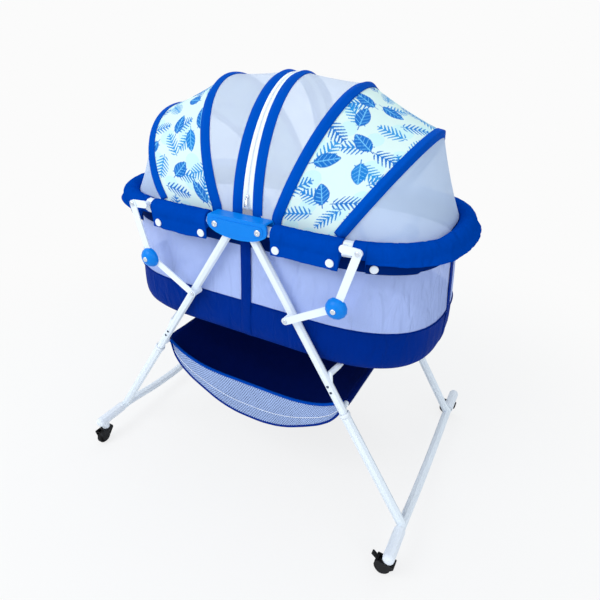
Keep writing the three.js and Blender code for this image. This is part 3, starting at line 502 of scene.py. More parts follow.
def sleeve_section(flap):
    """Roll with a flap on its outer side; flap 0 leaves only the roll."""
    hem = [(12.3, -39.6), (12.7, -41.0), (14.0, -41.6), (15.3, -41.0), (15.9, -39.4), (16.1, -36.4)]
    face = [(15.4, -34.6), (15.7, -28.0), (15.5, -21.0), (15.3, -16.0), (16.6, -11.2), (18.3, -5.6)]
    roll = circle_points(ROLL, np.arange(4, 263, 12))
    back = [(2.5, -18.2), (6.5, -17.6), (10.2, -18.0), (11.9, -21.0), (12.3, -28.0), (12.3, -34.0)]
    hanging = np.vstack([hem, face, roll, back, hem[:1]])
    bare = circle_points(BARE_FRONT, np.linspace(-62, -4, len(hem) + len(face)))
    bare_back = circle_points(BARE_BACK, np.linspace(-97, -66, len(back)))
    short = np.vstack([bare, roll, bare_back, bare[:1]])
    return resample(hanging * flap + short * (1 - flap), 73)[:-1]


def smooth(x, low, high):
    t = np.clip((x - low) / (high - low), 0, 1)
    return t * t * (3 - 2 * t)


def sleeve_steps(s0, s1):
    """Places along a piece of sleeve, closer together where the flap is cut."""
    cuts = sorted([rail_s(x) for x in FLAP_CUT] + [RAIL_S[-1] - rail_s(x) for x in FLAP_CUT])
    even = np.linspace(s0 + 2.0, s1 - 2.0, max(int((s1 - s0) / 4.0), 12))
    close = [c + d for c in cuts for d in (-1.6, -0.8, 0.0, 0.8, 1.6) if s0 + 4 < c + d < s1 - 4]
    return np.unique(np.concatenate([even, close]))


def sleeve_run(s0, s1, seed):
    """One piece of sleeve: roll and flap with stuffing, tucks and the outward flare of the end."""
    s = sleeve_steps(s0, s1)
    x = rail_frame(s)[0][:, 0]
    flap = np.where((x > FLAP_CUT[0]) & (x < FLAP_CUT[1]), 0.0, 1.0)
    whole, short = sleeve_section(1.0), sleeve_section(0.0)
    run = whole[None] * flap[:, None, None] + short[None] * (1 - flap)[:, None, None]
    shorten = np.where(x > FLAP_CUT[1], 0.95 - 0.53 * smooth(x, 290.0, 385.0), 0.0)[:, None]
    hanging = (run[..., 0] > 6) & (run[..., 1] < -FLAP_ROOT)
    run[..., 1] = np.where(hanging, run[..., 1] - (run[..., 1] + FLAP_ROOT) * shorten, run[..., 1])
    outward = unit(run - np.array([2.0, -8.0]))
    along = (s - s0)[:, None]
    around = np.arange(len(whole))[None, :]
    flare = smooth(x, FLARE_START, RAIL_L)[:, None]
    low = np.clip((-whole[:, 1] - 14) / 28, 0, 1)[None, :] * flap[:, None]
    puff = 0.55 * wander(along, around * 1.4, seed, 13.0) + 0.45 * wander(along, around, seed + 1, 5.0)
    pull = 1.2 * low * wander(along, around * 0.4, seed + 2, 22.0)
    satin = 0.5 * flare * wander(along + around * 3.0, around, seed + 5, 11.0)
    tucks = 0.55 * wander(along + 0.9 * around, around * 0.3, seed + 6, 12.0)
    run += outward * (puff * 1.3 + pull * 1.2 + satin + tucks)[..., None]
    run[..., 1] += 0.9 * low * wander(along, 0 * around, seed + 3, 30.0)
    run[..., 0] = np.where(hanging, np.maximum(run[..., 0], FLAP_BACK), run[..., 0])
    turn = math.radians(FLARE_ANGLE) * flare
    u, v = run[..., 0].copy(), run[..., 1].copy()
    run[..., 0] = u * np.cos(turn) - v * np.sin(turn)
    run[..., 1] = u * np.sin(turn) + v * np.cos(turn)
    grid = rail_points(s, run)
    return np.vstack([end_rings(grid, s, 0, -1)[::-1], grid, end_rings(grid, s, -1, 1)])


def end_rings(grid, s, row, step):
    """Rings that round off one end of a piece of sleeve."""
    out = rail_frame(s[[row]])[1][0]
    forward = np.array([-out[1], out[0], 0.0]) * step
    middle = grid[row].mean(0)
    return np.array([
        middle + (grid[row] - middle) * share + forward * reach
        for share, reach in ((0.985, 1.1), (0.93, 2.0), (0.6, 2.0))
    ])


def under_flap(s0, s1, mirror):
    """Flap that hangs behind the lip, from the stay round to the end, with a rounded corner. Its darker hem
    navy is painted shade under the lip.
    """
    s = np.linspace(s0, s1, 60)
    corner = np.sqrt(np.clip((s - s1 + 24.0) / 24.0, 0, 1) ** 2.5)
    low = -41.5 + 24.0 * corner
    section = np.array([
        (8.0, 0.0), (8.3, 0.3), (8.0, 0.6), (7.8, 0.9), (7.4, 1.0),
        (5.8, 1.0), (5.2, 0.9), (5.4, 0.5), (5.2, 0.0),
    ])
    run = np.empty((len(s), len(section), 2))
    wave = 1.1 * wander(s[:, None], section[None, :, 1] * 20, 71, 16.0) * section[None, :, 1]
    run[..., 0] = section[None, :, 0] + wave
    run[..., 1] = -13.0 + (low + 13.0)[:, None] * section[None, :, 1]
    return rail_points(RAIL_S[-1] - s if mirror else s, run)


def make_sleeve(side, sign):
    gap0, gap1 = rail_s(CLIP_X - CLIP_GAP), rail_s(CLIP_X + CLIP_GAP)
    start, total = rail_s(SLEEVE_START), RAIL_S[-1]
    b = Build(f"sleeve_cloth_{side}")

    def add(grid, mat=0):
        b.solid(flipped(grid, sign), mat=mat)

    for k, (s0, s1) in enumerate(((start, gap0), (gap1, total - gap1), (total - gap0, total - start))):
        add(sleeve_run(s0, s1, 11 + 7 * k + (sign > 0)))
    liner = circle_points(LINER, np.arange(28) * 360 / 28)
    for s0, s1 in ((gap0 - 6, gap1 + 6), (total - gap1 - 6, total - gap0 + 6)):
        add(rail_points(np.linspace(s0, s1, 16), liner), mat=1)
    # The flaps behind the lip take the darker hem navy: painted shade under the lip
    for mirror in (False, True):
        add(under_flap(rail_s(FLAP_CUT[1]) + 1.0, rail_s(FLAP_END), mirror), mat=1)
    tongue = np.array([(-15.3, -6.8), (-15.3, 6.8), (-16.9, 6.8), (-16.9, -6.8)])
    for s0, s1 in ((start - 17, start + 4), (total - start - 4, total - start + 17)):
        add(rail_points(np.linspace(s0, s1, 6), tongue), mat=1)
    obj = b.done([NAVY, HEM_NAVY_AND_PAINTED_SHADE])
    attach(obj, f"rail_{side}")
    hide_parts(f"rail_sleeve_{side}")


# Radius and height of a press snap, from its back to the middle of its face
SNAP = (
    (0.0, -0.6), (8.3, -0.6), (8.5, 0.6), (8.0, 1.5), (6.4, 1.9),
    (5.6, 1.5), (4.6, 1.6), (2.4, 2.3), (0.0, 2.5),
)
# Place along the rail, distance out from the rail and drop below it
SNAP_PLACES = ((90.0, 16.3, 28.5), (205.0, 16.3, 28.5), (283.0, 9.0, 31.0))


def make_snaps(side, sign):
    b = Build(f"snaps_{side}")
    for x, proud, drop in SNAP_PLACES:
        for s in (rail_s(x), RAIL_S[-1] - rail_s(x)):
            p, out = rail_frame(np.array([s]))
            centre = np.array([*(p[0] + out[0] * proud), RAIL_Z - drop])
            facing = (out[0, 0] * sign, out[0, 1], 0.0)
            b.grid(lathe(SNAP, flipped(centre, sign), facing), wrap_v=True)
    obj = b.done([WHITE_PLASTIC])
    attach(obj, f"rail_{side}")


# Canopy

def hoop_path(name, count=141):
    foot, apex, top, half, roundness, end_z = HOOPS[name]
    a = np.linspace(0.035, np.pi - 0.035, 500)
    power = 2 / roundness
    rise = np.sin(a) ** power
    across = np.sign(np.cos(a)) * np.abs(np.cos(a)) ** power
    arch = np.stack([foot + (apex - foot) * rise, -half * across, HOOP_FOOT + (top - HOOP_FOOT) * rise], -1)
    ends = np.array([[foot, -half, end_z], [foot, half, end_z]])
    return resample(np.vstack([ends[:1], arch, ends[1:]]), count)


def end_rim(count=141):
    """Line on the sleeve's inner side where the end net is sewn on."""
    start = rail_s(HOOPS["outer"][0] + 10)
    p, out = rail_frame(np.linspace(start, RAIL_S[-1] - start, count))
    return at_height(p - out * RIM_INSET, RAIL_Z + RIM_LIFT)


OUTER, MIDDLE, CENTRE = (hoop_path(k) for k in ("outer", "middle", "centre"))
RIM = end_rim()
SEAM_LINE = CENTRE * np.array([0.0, 1.0, 1.0])


def outward_of(points, along, across):
    """Normal of a canopy cloth, turned away from the inside of the cradle."""
    normal = unit(np.cross(along, across))
    away = points - CANOPY_INSIDE
    return normal * np.sign((normal * away).sum(-1, keepdims=True))


def gore(a, b, steps, sag, inset=5.0):
    """Cloth between two edges, a little drawn in between them."""
    width = np.linalg.norm(b - a, axis=1)
    low = np.clip(inset / width, 0, 0.45)
    v = low[:, None] + (1 - 2 * low)[:, None] * np.linspace(0, 1, steps)[None]
    points = a[:, None] * (1 - v[..., None]) + b[:, None] * v[..., None]
    normal = outward_of((a + b) / 2, tangents((a + b) / 2), unit(b - a))
    points -= normal[:, None] * (sag * 4 * v * (1 - v))[..., None]
    return points


def band(path, to_a, to_b, reach):
    """Folded binding round a wire: two wings that follow the cloth on either side."""
    t = tangents(path)
    wings = []
    for to in (to_a, to_b):
        d = to - path
        wings.append(unit(d - (d * t).sum(-1, keepdims=True) * t))
    normal = outward_of(path, t, unit(wings[0] - wings[1]))
    half = [(0.0, BAND_HEIGHT), (0.22, 4.0), (0.5, 2.6), (0.86, 1.1), (1.0, 0.55)]
    shape = [(-x, h) for x, h in reversed(half[1:])] + half
    under = [(x, -0.9 * h) for x, h in reversed(shape)]
    rows = []
    for x, h in shape + under:
        k = 0 if x < 0 else 1
        rows.append(path + wings[k] * abs(x) * reach[k] + normal * h)
    return np.stack(rows, 1)


PRINT_SEED = {"left": 36, "right": 6}
PRINT_GROUND = rgb(212, 233, 229)
PRINT_SPOT = rgb(188, 230, 232)
FROND_INKS = (rgb(0, 110, 196), rgb(14, 126, 206), rgb(36, 144, 214))
LEAF_INKS = (rgb(0, 106, 194), rgb(8, 122, 204))
VEIN_INK = rgb(110, 190, 232)


def leaf_print(along, across, seed):
    """Ink colour of a plain scattered leaf pattern, at flat places in millimetres."""
    rng = np.random.default_rng(seed)
    colour = np.empty(along.shape + (3,))
    colour[:] = PRINT_GROUND[:3]

    def lay(mask, ink, strength=1.0):
        colour[mask] = colour[mask] * (1 - strength) + np.array(ink[:3]) * strength

    def local(x, y, turn):
        p = (along - x) * math.cos(turn) + (across - y) * math.sin(turn)
        return p, np.abs(-(along - x) * math.sin(turn) + (across - y) * math.cos(turn))

    def frond(x, y, turn, ink):
        p, q = local(x, y, turn)
        reach = 16.5 * np.maximum(1 - ((p + 2) / 30) ** 2, 0) ** 0.55
        leaflet = np.mod(p - 0.9 * q, 8.4) < 5.6 * (1 - 0.6 * q / (reach + 0.1))
        lay((np.abs(p) < 28) & (q < reach) & leaflet, ink)
        lay((p < 26) & (p > -33) & (q < 0.9), ink)

    def leaf(x, y, turn, ink):
        p, q = local(x, y, turn)
        width = 14.0 * np.maximum(1 - (p / 24) ** 2, 0) ** 0.8 * (1 - 0.2 * p / 24)
        lay((np.abs(p) < 24) & (q < width), ink)
        veins = (np.mod(p - 0.75 * q, 9.0) < 1.1) | (q < 0.9)
        lay((np.abs(p) < 22) & (q < width - 1.4) & veins, VEIN_INK)
        lay((p < -23) & (p > -32) & (q < 0.9), ink)

    spots = []
    for i, x in enumerate(np.arange(along.min() - 20, along.max() + 40, 53.0)):
        for y in np.arange(across.min() - 20 + (i % 2) * 26, across.max() + 40, 55.0):
            place = (x + rng.uniform(-9, 9), y + rng.uniform(-8, 8))
            spots.append((*place, rng.uniform(0, 2 * np.pi), rng.random(), rng.random()))
    for x, y, turn, kind, tint in spots:
        if kind > 0.3:
            disc = (along - x - 17) ** 2 + (across - y + 15) ** 2 < (15 + 7 * tint) ** 2
            lay(disc, PRINT_SPOT, 0.65)
    for x, y, turn, kind, tint in spots:
        if kind < 0.36:
            frond(x - 15 * math.sin(turn), y + 15 * math.cos(turn), turn + 0.9, FROND_INKS[1 + (tint > 0.5)])
            leaf(x, y, turn, LEAF_INKS[0 if tint < 0.75 else 1])
        else:
            frond(x, y, turn, FROND_INKS[int(tint * 2.99)])
    return colour


def flat_places(points):
    """Places along and across a cloth as if it lay flat, from its middle line."""
    along = lengths(points, 0, False)
    steps = np.linalg.norm(np.diff(points, axis=1), axis=2)
    across = np.concatenate([np.zeros((len(points), 1)), np.cumsum(steps, 1)], 1)
    along = np.broadcast_to((along - along.mean())[:, None], points.shape[:2])
    return along, across - across.mean(1, keepdims=True)


def sheet_mesh(name, points, material, wrap_v=False):
    return Build(name).grid(points, wrap_v=wrap_v).done([material], closed=False, weld=False)


def make_canopy(side, sign):
    rail, middle, centre = f"rail_{side}", f"canopy_middle_{side}", f"canopy_centre_{side}"
    bands = {}
    for name, path, to_a, to_b, reach, body in (
        ("outer", OUTER, RIM, MIDDLE, (12.2, 12.2), rail),
        ("middle", MIDDLE, OUTER, CENTRE, (12.4, 10.8), middle),
        ("centre", CENTRE, MIDDLE, SEAM_LINE, (10.8, 12.4), centre),
    ):
        binding = flipped(band(path, to_a, to_b, reach), sign)
        bands[name] = Build(f"{name}_band_{side}").solid(binding).done([BAND])
        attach(bands[name], body)

    points = gore(RIM, OUTER, 26, 3.0, inset=2.0)
    end = sheet_mesh(f"end_net_cloth_{side}", flipped(points, sign), END_NET)
    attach(end, rail)
    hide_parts(f"end_net_{side}")

    points = gore(resample(OUTER, 561), resample(MIDDLE, 561), 171, 4.0)
    panel = sheet_mesh(f"printed_cloth_{side}", flipped(points, sign), PRINT)
    ink = np.ones(points.shape[:2] + (4,), np.float32)
    ink[..., :3] = leaf_print(*flat_places(points), PRINT_SEED[side])
    panel.data.color_attributes.new(name="print", type="FLOAT_COLOR", domain="POINT")
    panel.data.color_attributes["print"].data.foreach_set("color", ink.ravel())
    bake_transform(panel)
    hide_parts(f"printed_panel_{side}")

    points = gore(MIDDLE, CENTRE, 22, 2.5)
    gauze = sheet_mesh(f"net_cloth_{side}", flipped(points, sign), CANOPY_NET)
    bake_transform(gauze)
    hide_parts(f"net_panel_{side}")

    make_zip(side, sign)


def make_zip(side, sign):
    """Half a zip: tape from the binding to the middle, with its coil along the edge."""
    path = CENTRE[4:-4]
    t = tangents(path)
    normal = outward_of(path, t, np.broadcast_to(np.array([1.0, 0, 0]), t.shape))
    edge = path[:, 0] - 9.0
    rows = []
    for share, lift in ((0.0, 0.4), (0.35, 0.2), (0.7, 0.2), (1.0, 0.4)):
        row = path.copy()
        row[:, 0] = edge + (0.5 - edge) * share
        rows.append(row + normal * lift)
    under = [row - normal * 0.7 for row in reversed(rows)]
    tape = np.stack(rows + under, 1)
    turns = 700
    coil_path = resample(rows[-1], turns)
    coil_path[:, 0] = 1.25
    radius = 0.95 + 0.28 * np.sin(np.arange(turns) * 2 * np.pi / 3.5)
    coil = tube(coil_path, radius, 6, up=(1.0, 0.0, 0.0))
    b = Build(f"zip_half_{side}")
    b.solid(flipped(tape, sign))
    b.solid(flipped(coil, sign), mat=1)
    if side == "left":
        k = 5
        add_slider(b, path[k] * np.array([0, 1, 1]), t[k], normal[k])
    obj = b.done([ZIP_TAPE, WHITE_PLASTIC, STEEL])
    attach(obj, f"canopy_centre_{side}")


def add_slider(b, place, along, normal):
    """Slider that straddles the coil, with a flat pull that hangs from it."""
    across = np.array([1.0, 0.0, 0.0])
    rings = []
    for lift, half, long in ((1.2, 3.4, 5.0), (2.2, 3.6, 5.2), (3.6, 2.8, 4.2), (4.2, 1.0, 1.4)):
        centre = place + normal * lift
        turn = ring_angles(16)[:, None]
        rings.append(centre + across * half * np.cos(turn) + along * long * np.sin(turn))
    b.solid(rings, mat=2)
    eye = place + normal * 3.6
    pull = []
    for down, half in ((0.0, 1.2), (4.0, 2.0), (12.0, 2.8), (18.0, 2.8), (20.0, 1.4)):
        hang = eye - along * down + normal * 0.3 * down
        corners = ((-half, -0.5), (half, -0.5), (half, 0.6), (-half, 0.6))
        pull.append([hang + across * x + normal * h for x, h in corners])
    b.solid(pull, mat=2)


# Cradle bag

def oval(half_l, half_w, count):
    """Plan of the bag, evenly spaced, starting in the middle of the front."""
    straight = STRAIGHT - (RAIL_L - half_l) / 4
    right = end_arc(half_l, half_w, straight)
    left = -right
    loop = np.vstack([[[0.0, -half_w]], right, left, [[0.0, -half_w]]])
    return resample(loop, count + 1)[:-1]


# How much longer and wider the bag is than at its top, and the height where it is so
BAG_PROFILE = np.array([
    (0.0, 0.0, BAG_TOP), (6.3, 1.6, 654.8), (12.6, 3.1, 590.0), (BAND_MORE_L, BAND_MORE_W, BAND_TOP),
])


def bag_half(z):
    """Half length and half width of the bag at a height."""
    more_l, more_w = (np.interp(-z, -BAG_PROFILE[:, 2], BAG_PROFILE[:, k]) for k in (0, 1))
    return BAG_L + more_l, BAG_W + more_w


def bag_rings(heights, count, inset=0.0):
    rings = []
    for z in heights:
        half_l, half_w = bag_half(z)
        rings.append(at_height(oval(half_l - inset, half_w - inset, count), z))
    return np.array(rings)


def outward_flat(grid):
    t = tangents(grid[0, :, :2], wrap=True)
    return at_height(np.stack([t[:, 1], -t[:, 0]], -1), 0.0)


def round_places(count):
    return np.arange(count) / count * BAG_ROUND


def squash_bag(obj):
    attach(obj, "hub")
    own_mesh(obj)


def make_bag_net():
    count = 620
    heights = np.linspace(660.0, 521.0, 44)
    wall = bag_rings(heights, count, 1.6)
    out = outward_flat(wall)
    s = round_places(count)[None]
    level = np.linspace(0, 1, len(heights))[:, None]
    folds = 1.0 * wander(s, level * 3, 3, 7.0) + 2.2 * wander(s + 30 * level, level * 2, 4, 24.0)
    hold = np.sin(np.pi * np.clip(level, 0.02, 0.98)) ** 0.6
    sag = -2.2 * np.sin(np.pi * level) * (0.6 + 0.4 * wander(s, level, 8, 120.0))
    wall = wall + out[None] * (folds * hold + sag)[..., None]
    obj = sheet_mesh("bag_net_cloth", wall, BAG_NET, wrap_v=True)
    squash_bag(obj)
    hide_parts("bag_wall")


# Height and depth behind the bag's outside, round the section of the hem
HEM_SECTION = np.array([
    (698.5, 1.6), (699.2, 0.7), (698.0, 0.0), (690.0, -0.3), (680.0, -0.5), (670.0, -0.5), (660.0, -0.5),
    (655.5, -0.4), (654.6, 0.6), (655.6, 1.6), (662.0, 1.8), (680.0, 1.8), (697.0, 2.0),
])


def make_bag_hem():
    count = 420
    rings = bag_rings(HEM_SECTION[:, 0], count)
    out = outward_flat(rings)
    s = round_places(count)
    wave = 0.5 * wander(s, 0 * s, 21, 24.0)
    rings = rings - out[None] * (HEM_SECTION[:, 1:] + 0.6 - wave[None])[..., None]
    hem = Build("bag_hem").grid(rings, wrap_u=True, wrap_v=True).done([HEM_NAVY_AND_PAINTED_SHADE])
    squash_bag(hem)


# Change of half size and height, from the top of the tub's wall to the edge of its floor
TUB_PROFILE = (
    (0.0, 525.0), (0.0, 521.0), (-0.6, 515.0), (0.2, 500.0), (0.7, 480.0), (0.4, 462.0),
    (-1.5, 448.0), (-5.0, 438.0), (-11.0, 431.0), (-19.0, 427.0), (-27.0, 425.4),
)


def make_tub():
    count = 420
    half_l, half_w = bag_half(BAND_TOP)
    rings = [at_height(oval(half_l + more - 0.8, half_w + more - 0.8, count), z) for more, z in TUB_PROFILE]
    rings += [rings[-1] * np.array([k, k, 1.0]) for k in (0.86, 0.66, 0.42, 0.18, 0.02)]
    rings = np.array(rings)
    out = outward_flat(rings)
    s = round_places(count)[None]
    z = rings[:, :1, 2]
    hang = np.clip((z - BAG_BOTTOM) / 40, 0, 1) * np.clip((BAND_TOP + 6 - z) / 14, 0, 1)
    folds = 1.3 * wander(s + 0.5 * z, z * 0.25, 31, 24.0) + 0.6 * wander(s, z * 0.6, 32, 9.0)
    rings = rings + out[None] * (folds * hang)[..., None]
    inner = rings[::-1] - out[None] * 1.6
    inner[..., 2] += np.where(inner[..., 2] < 470, 1.3, 0)
    obj = Build("bag_tub_cloth").grid(np.vstack([rings, inner]), wrap_u=True, wrap_v=True).done([NAVY_DEEP])
    squash_bag(obj)
    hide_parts("bag_tub")


def add_strap(b, rows, out):
    """Flat strap from the rows of points on its face, with a back face behind it."""
    face = np.array(rows)
    back = face[:, ::-1] - np.array(out) * STRAP_THICK
    b.solid(np.concatenate([face, back], 1))


def make_side_straps():
    """Straps down the middle of the front and the rear, tucked under the tub."""
    across = np.array([-12.5, -11.5, -4.0, 4.0, 11.5, 12.5])
    lift = np.array([-0.6, 0.2, 0.5, 0.5, 0.2, -0.6])
    b = Build("bag_straps")
    for _, front in ENDS:
        rows = []
        for z in np.concatenate([np.linspace(690, 432, 40), [428.0, 425.8]]):
            tuck = 20.0 * (max(460 - z, 0) / 35) ** 2.4
            y = front * (bag_half(z)[1] + 0.9 - tuck + lift)
            rows.append(np.stack([across + 0.5 * math.sin(z / 40), y, np.full(6, z)], -1))
        add_strap(b, rows, (0.0, front, 0.0))
    obj = b.done([NAVY_DEEP])
    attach(obj, "hub")


def make_end_straps():
    """Straps down the middle of both ends, with the piping along the top of the tub."""
    across = np.array([-11.0, -10.2, -4.0, 4.0, 10.2, 11.0])
    lift = np.array([-0.7, 0.2, 0.5, 0.5, 0.2, -0.7])
    b = Build("bag_end_straps")
    for _, end in SIDES:
        rows = []
        for z in np.linspace(690, 440, 40):
            tuck = 5.0 * (max(462 - z, 0) / 22) ** 2
            x = end * (bag_half(z)[0] + 0.7 + lift - tuck)
            rows.append(np.stack([x, across, np.full(6, z)], -1))
        add_strap(b, rows, (end, 0.0, 0.0))
    ring = bag_rings([BAND_TOP], 420)
    piping = tube(ring[0] + outward_flat(ring) * 0.2, 1.1, 8, wrap=True)
    b.grid(piping, wrap_u=True, wrap_v=True)
    obj = b.done([NAVY_DEEP])
    squash_bag(obj)


# Mattress pad, filled by a cloth simulation

def make_mattress():
    count, floor, top = 90, 428.8, 459.0
    length, width = 354.0, 167.0
    wall = ((22, floor), (8, floor + 2), (0, floor + 9), (0, floor + 16), (6, top - 5), (20, top - 1))
    sides = [at_height(oval(length - inset, width - inset, count), z) for inset, z in wall]

    def shrunk(ring, k, z):
        return ring * np.array([k, k, 0]) + np.array([0, 0, z])

    under = [shrunk(sides[0], k, floor) for k in (0.02, 0.35, 0.7)]
    over = [shrunk(sides[-1], k, top) for k in (0.7, 0.35, 0.02)]
    obj = Build("mattress_pad").solid(under + sides + over).done([MATTRESS])
    swell(obj, voxel=0.006, cap=0.006)
    for p in obj.data.polygons:
        p.use_smooth = True
    quilt(obj, floor * MM, top * MM)
    squash_bag(obj)
    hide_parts("mattress")


def points_of(obj):
    return np.array([v.co for v in obj.data.vertices])


def move_points(obj, places):
    obj.data.vertices.foreach_set("co", places.astype(np.float32).ravel())
    obj.data.update()


def swell(obj, voxel, cap):
    """Remesh, inflate with the cloth solver, and keep each point near its start."""
    bpy.context.view_layer.objects.active = obj
    remesh = obj.modifiers.new("remesh", "REMESH")
    remesh.mode = "VOXEL"
    remesh.voxel_size = voxel
    bpy.ops.object.modifier_apply(modifier="remesh")
    start = points_of(obj)
    sim = obj.modifiers.new("cloth", "CLOTH")
    sim.settings.use_pressure = True
    sim.settings.uniform_pressure_force = 4.0
    sim.settings.effector_weights.gravity = 0.0
    sim.settings.quality = 5
    scene = bpy.context.scene
    for f in range(1, 21):
        scene.frame_set(f)
    moved = points_of(obj.evaluated_get(bpy.context.evaluated_depsgraph_get()))
    obj.modifiers.remove(sim)
    scene.frame_set(1)
    step = moved - start
    size = np.linalg.norm(step, axis=1, keepdims=True)
    step *= np.minimum(1, cap / np.maximum(size, 1e-9))
    move_points(obj, start + step)


def quilt(obj, low, high):
    """Sewn lines across the top, and the pad kept inside the tub."""
    co = points_of(obj)
    face_up = np.clip((co[:, 2] - (low + high) / 2) / ((high - low) / 2), 0, 1)
    groove = np.zeros(len(co))
    for turn in (1, -1):
        across = (co[:, 0] + turn * co[:, 1]) / 0.11
        groove = np.maximum(groove, np.exp(-((across - np.round(across)) / 0.05) ** 2))
    co[:, 2] -= 0.0035 * groove * face_up
    co[:, 2] = np.clip(co[:, 2], low, high + 0.003)
    move_points(obj, co)


# Storage basket

# Places and heights of the sling from the left rod to its lowest point
BASKET_SIDE = np.array([
    (-245.6, 334.0), (-240.0, 309.0), (-234.0, 289.0), (-216.0, 263.0), (-187.0, 239.5),
    (-150.0, 219.0), (-110.0, 198.8), (-75.0, 187.0), (-40.0, 181.2), (0.0, 180.4),
])
BASKET_LINER = 2.6


def basket_profile(count=121):
    full = np.vstack([BASKET_SIDE, BASKET_SIDE[-2::-1] * np.array([-1.0, 1.0])])
    t = np.linspace(0, 1, len(full))
    dense = np.linspace(0, 1, 600)
    line = np.stack([np.interp(dense, t, full[:, k]) for k in (0, 1)], -1)
    for _ in range(60):
        line[1:-1] = (line[:-2] + line[2:]) / 2
    return resample(line, count)


def squash_basket(obj):
    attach(obj, "basket")
    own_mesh(obj)


def make_sling(x, z):
    ys = np.linspace(-BASKET_HALF, BASKET_HALF, 61)
    grid = np.empty((len(x), len(ys), 3))
    grid[..., 0] = x[:, None]
    grid[..., 1] = ys[None]
    sag = 2.4 * np.cos(np.pi * ys / (2 * BASKET_HALF)) * np.clip((ROD_Z - z) / 80, 0, 1)[:, None]
    grid[..., 2] = z[:, None] + BASKET_LINER - sag + 1.2 * wander(x[:, None], ys[None], 41, 60.0)
    obj = sheet_mesh("basket_sling", grid, BASKET_NAVY)
    squash_basket(obj)
    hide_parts("basket")


def make_basket_wall(x, z, end, sign):
    """Wall at the front (net) or the rear (cloth), with its bindings and a seam."""
    levels = np.linspace(0, 1, 24)
    low = z + BASKET_LINER
    top = np.maximum(ROD_Z - 52.0 * (1 - np.abs(x / 245.85) ** 4), z + 3.4)
    depth = np.clip((top - low) / 100, 0, 1)[:, None]
    bulge = 4.0 * np.sin(np.pi * levels)[None] * depth
    lean = -3.0 * levels[None] * depth + 0.9 * wander(x[:, None], levels[None] * 40, 43, 26.0) * depth
    wall = np.empty((len(x), len(levels), 3))
    wall[..., 0] = x[:, None]
    wall[..., 1] = sign * (BASKET_HALF + bulge + lean)
    wall[..., 2] = low[:, None] + (top - low)[:, None] * levels[None]
    obj = sheet_mesh(f"basket_{end}", wall, BASKET_NET if end == "front" else BASKET_NAVY)
    squash_basket(obj)

    b = Build(f"basket_binding_{end}")
    b.solid(tube(wall[:, -1], 3.6, 10))
    b.solid(tube(wall[:, 0], 3.0, 8), mat=1)
    seam = wall[8:-8, 9] + np.array([0.0, sign * 0.9, 0.0])
    b.solid(tube(seam, 0.9, 6), mat=2)
    obj = b.done([BASKET_BLUE, NAVY_DEEP, SEAM])
    squash_basket(obj)


def make_rod_sleeve(side, sign):
    half = BASKET_HALF + 1
    path = resample([(ROD_X * sign, -half, ROD_Z), (ROD_X * sign, half, ROD_Z)], 41)
    radius = 7.6 + 0.35 * wander(path[:, 1], 0, 47, 18.0)
    b = Build(f"rod_sleeve_{side}").solid(tube(path, radius, 18))
    seam = path[1:-1] + np.array([7.0 * sign, 0.0, -3.4])
    b.solid(tube(seam, 1.0, 6), mat=1)
    obj = b.done([BASKET_NAVY, SEAM])
    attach(obj, f"leg_{side}")


def make_basket():
    x, z = basket_profile().T
    make_sling(x, z)
    for end, sign in ENDS:
        make_basket_wall(x, z, end, sign)
    for side, sign in SIDES:
        make_rod_sleeve(side, sign)


# Fastenings and leg marks, each turned about its axis: radius and height, from the back to the middle of the
# face

RIVET = ((0.0, -0.5), (5.4, -0.5), (5.5, 0.4), (5.0, 1.3), (3.4, 2.0), (2.2, 1.7), (1.5, 1.2), (0.0, 1.1))
# Dome of a leg mark, dark as painted shade of a slot
SLOT_MARK = ((0, -1.5), (3.1, -1.5), (3.1, 0.7), (2.4, 1.5), (0, 1.7))
COLLAR = ((9.7, -1.2), (11.2, -1.6), (12.4, 0.2), (12.5, 4.0), (12.1, 7.5), (11.0, 8.0))
# Size and place of the rivets on the brackets and on the stays
BRACKET_RIVET = (1.25, 51.0, 241.0, RAIL_Z)
STAY_RIVETS = {
    "upper": ((0.95, 264.0, 250.2, 712.0), (1.05, 231.0, 264.0, 592.6)),
    "lower": ((0.95, 119.5, 246.9, 528.7),),
}


def add_rivet(b, rivet, sign, front):
    size, x, y, z = rivet
    profile = [(r * size, h * size) for r, h in RIVET]
    b.grid(lathe(profile, (x * sign, y * front, z), (0, front, 0)), wrap_v=True)


def make_rivets():
    b = Build("bracket_rivets")
    for _, sign in SIDES:
        for _, front in ENDS:
            add_rivet(b, BRACKET_RIVET, sign, front)
    obj = b.done([STEEL])
    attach(obj, "hub")
    for side, sign in SIDES:
        for level, rivets in STAY_RIVETS.items():
            b = Build(f"{level}_stay_rivets_{side}")
            for _, front in ENDS:
                for rivet in rivets:
                    add_rivet(b, rivet, sign, front)
            obj = b.done([STEEL])
            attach(obj, f"{level}_stays_{side}")


def leg_x(z):
    return LEG_TOP_X + LEG_RUN * (RAIL_Z - z) / LEG_DROP


def make_leg_marks():
    """Dark domes above each leg's collar, painted shade standing in for two slots, and the collar's rounded
    rim.
    """
    direction = (LEG_RUN, 0.0, -LEG_DROP)
    for side, sign in SIDES:
        b = Build(f"leg_fittings_{side}")
        for _, front in ENDS:
            for z in SLOT_MARK_HEIGHTS:
                at = (leg_x(z) * sign, front * (RAIL_W + 8.6), z)
                b.grid(lathe(SLOT_MARK, at, (0, front, 0), 14), wrap_v=True, mat=1)
            at = (leg_x(COLLAR_HEIGHT), front * RAIL_W, COLLAR_HEIGHT)
            b.grid(flipped(lathe(COLLAR, at, direction, 28), sign), wrap_v=True)
        obj = b.done([WHITE_PLASTIC, SLOT_SHADE])
        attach(obj, f"leg_{side}")


# Finishes of the frame's own pieces, by the start of their names

FINISHES = (
    (AZURE, ("bracket", "stay_knob")),
    (WHITE_METAL, ("rail_", "upper_", "lower_", "basket_rod")),
    (WHITE_PLASTIC, ("foot_cap",)),
    (BLACK, ("castor_fork", "brake_pedal")),
    (RUBBER, ("castor_wheel",)),
    (STEEL, ("outer_hoop", "middle_hoop", "centre_hoop")),
)


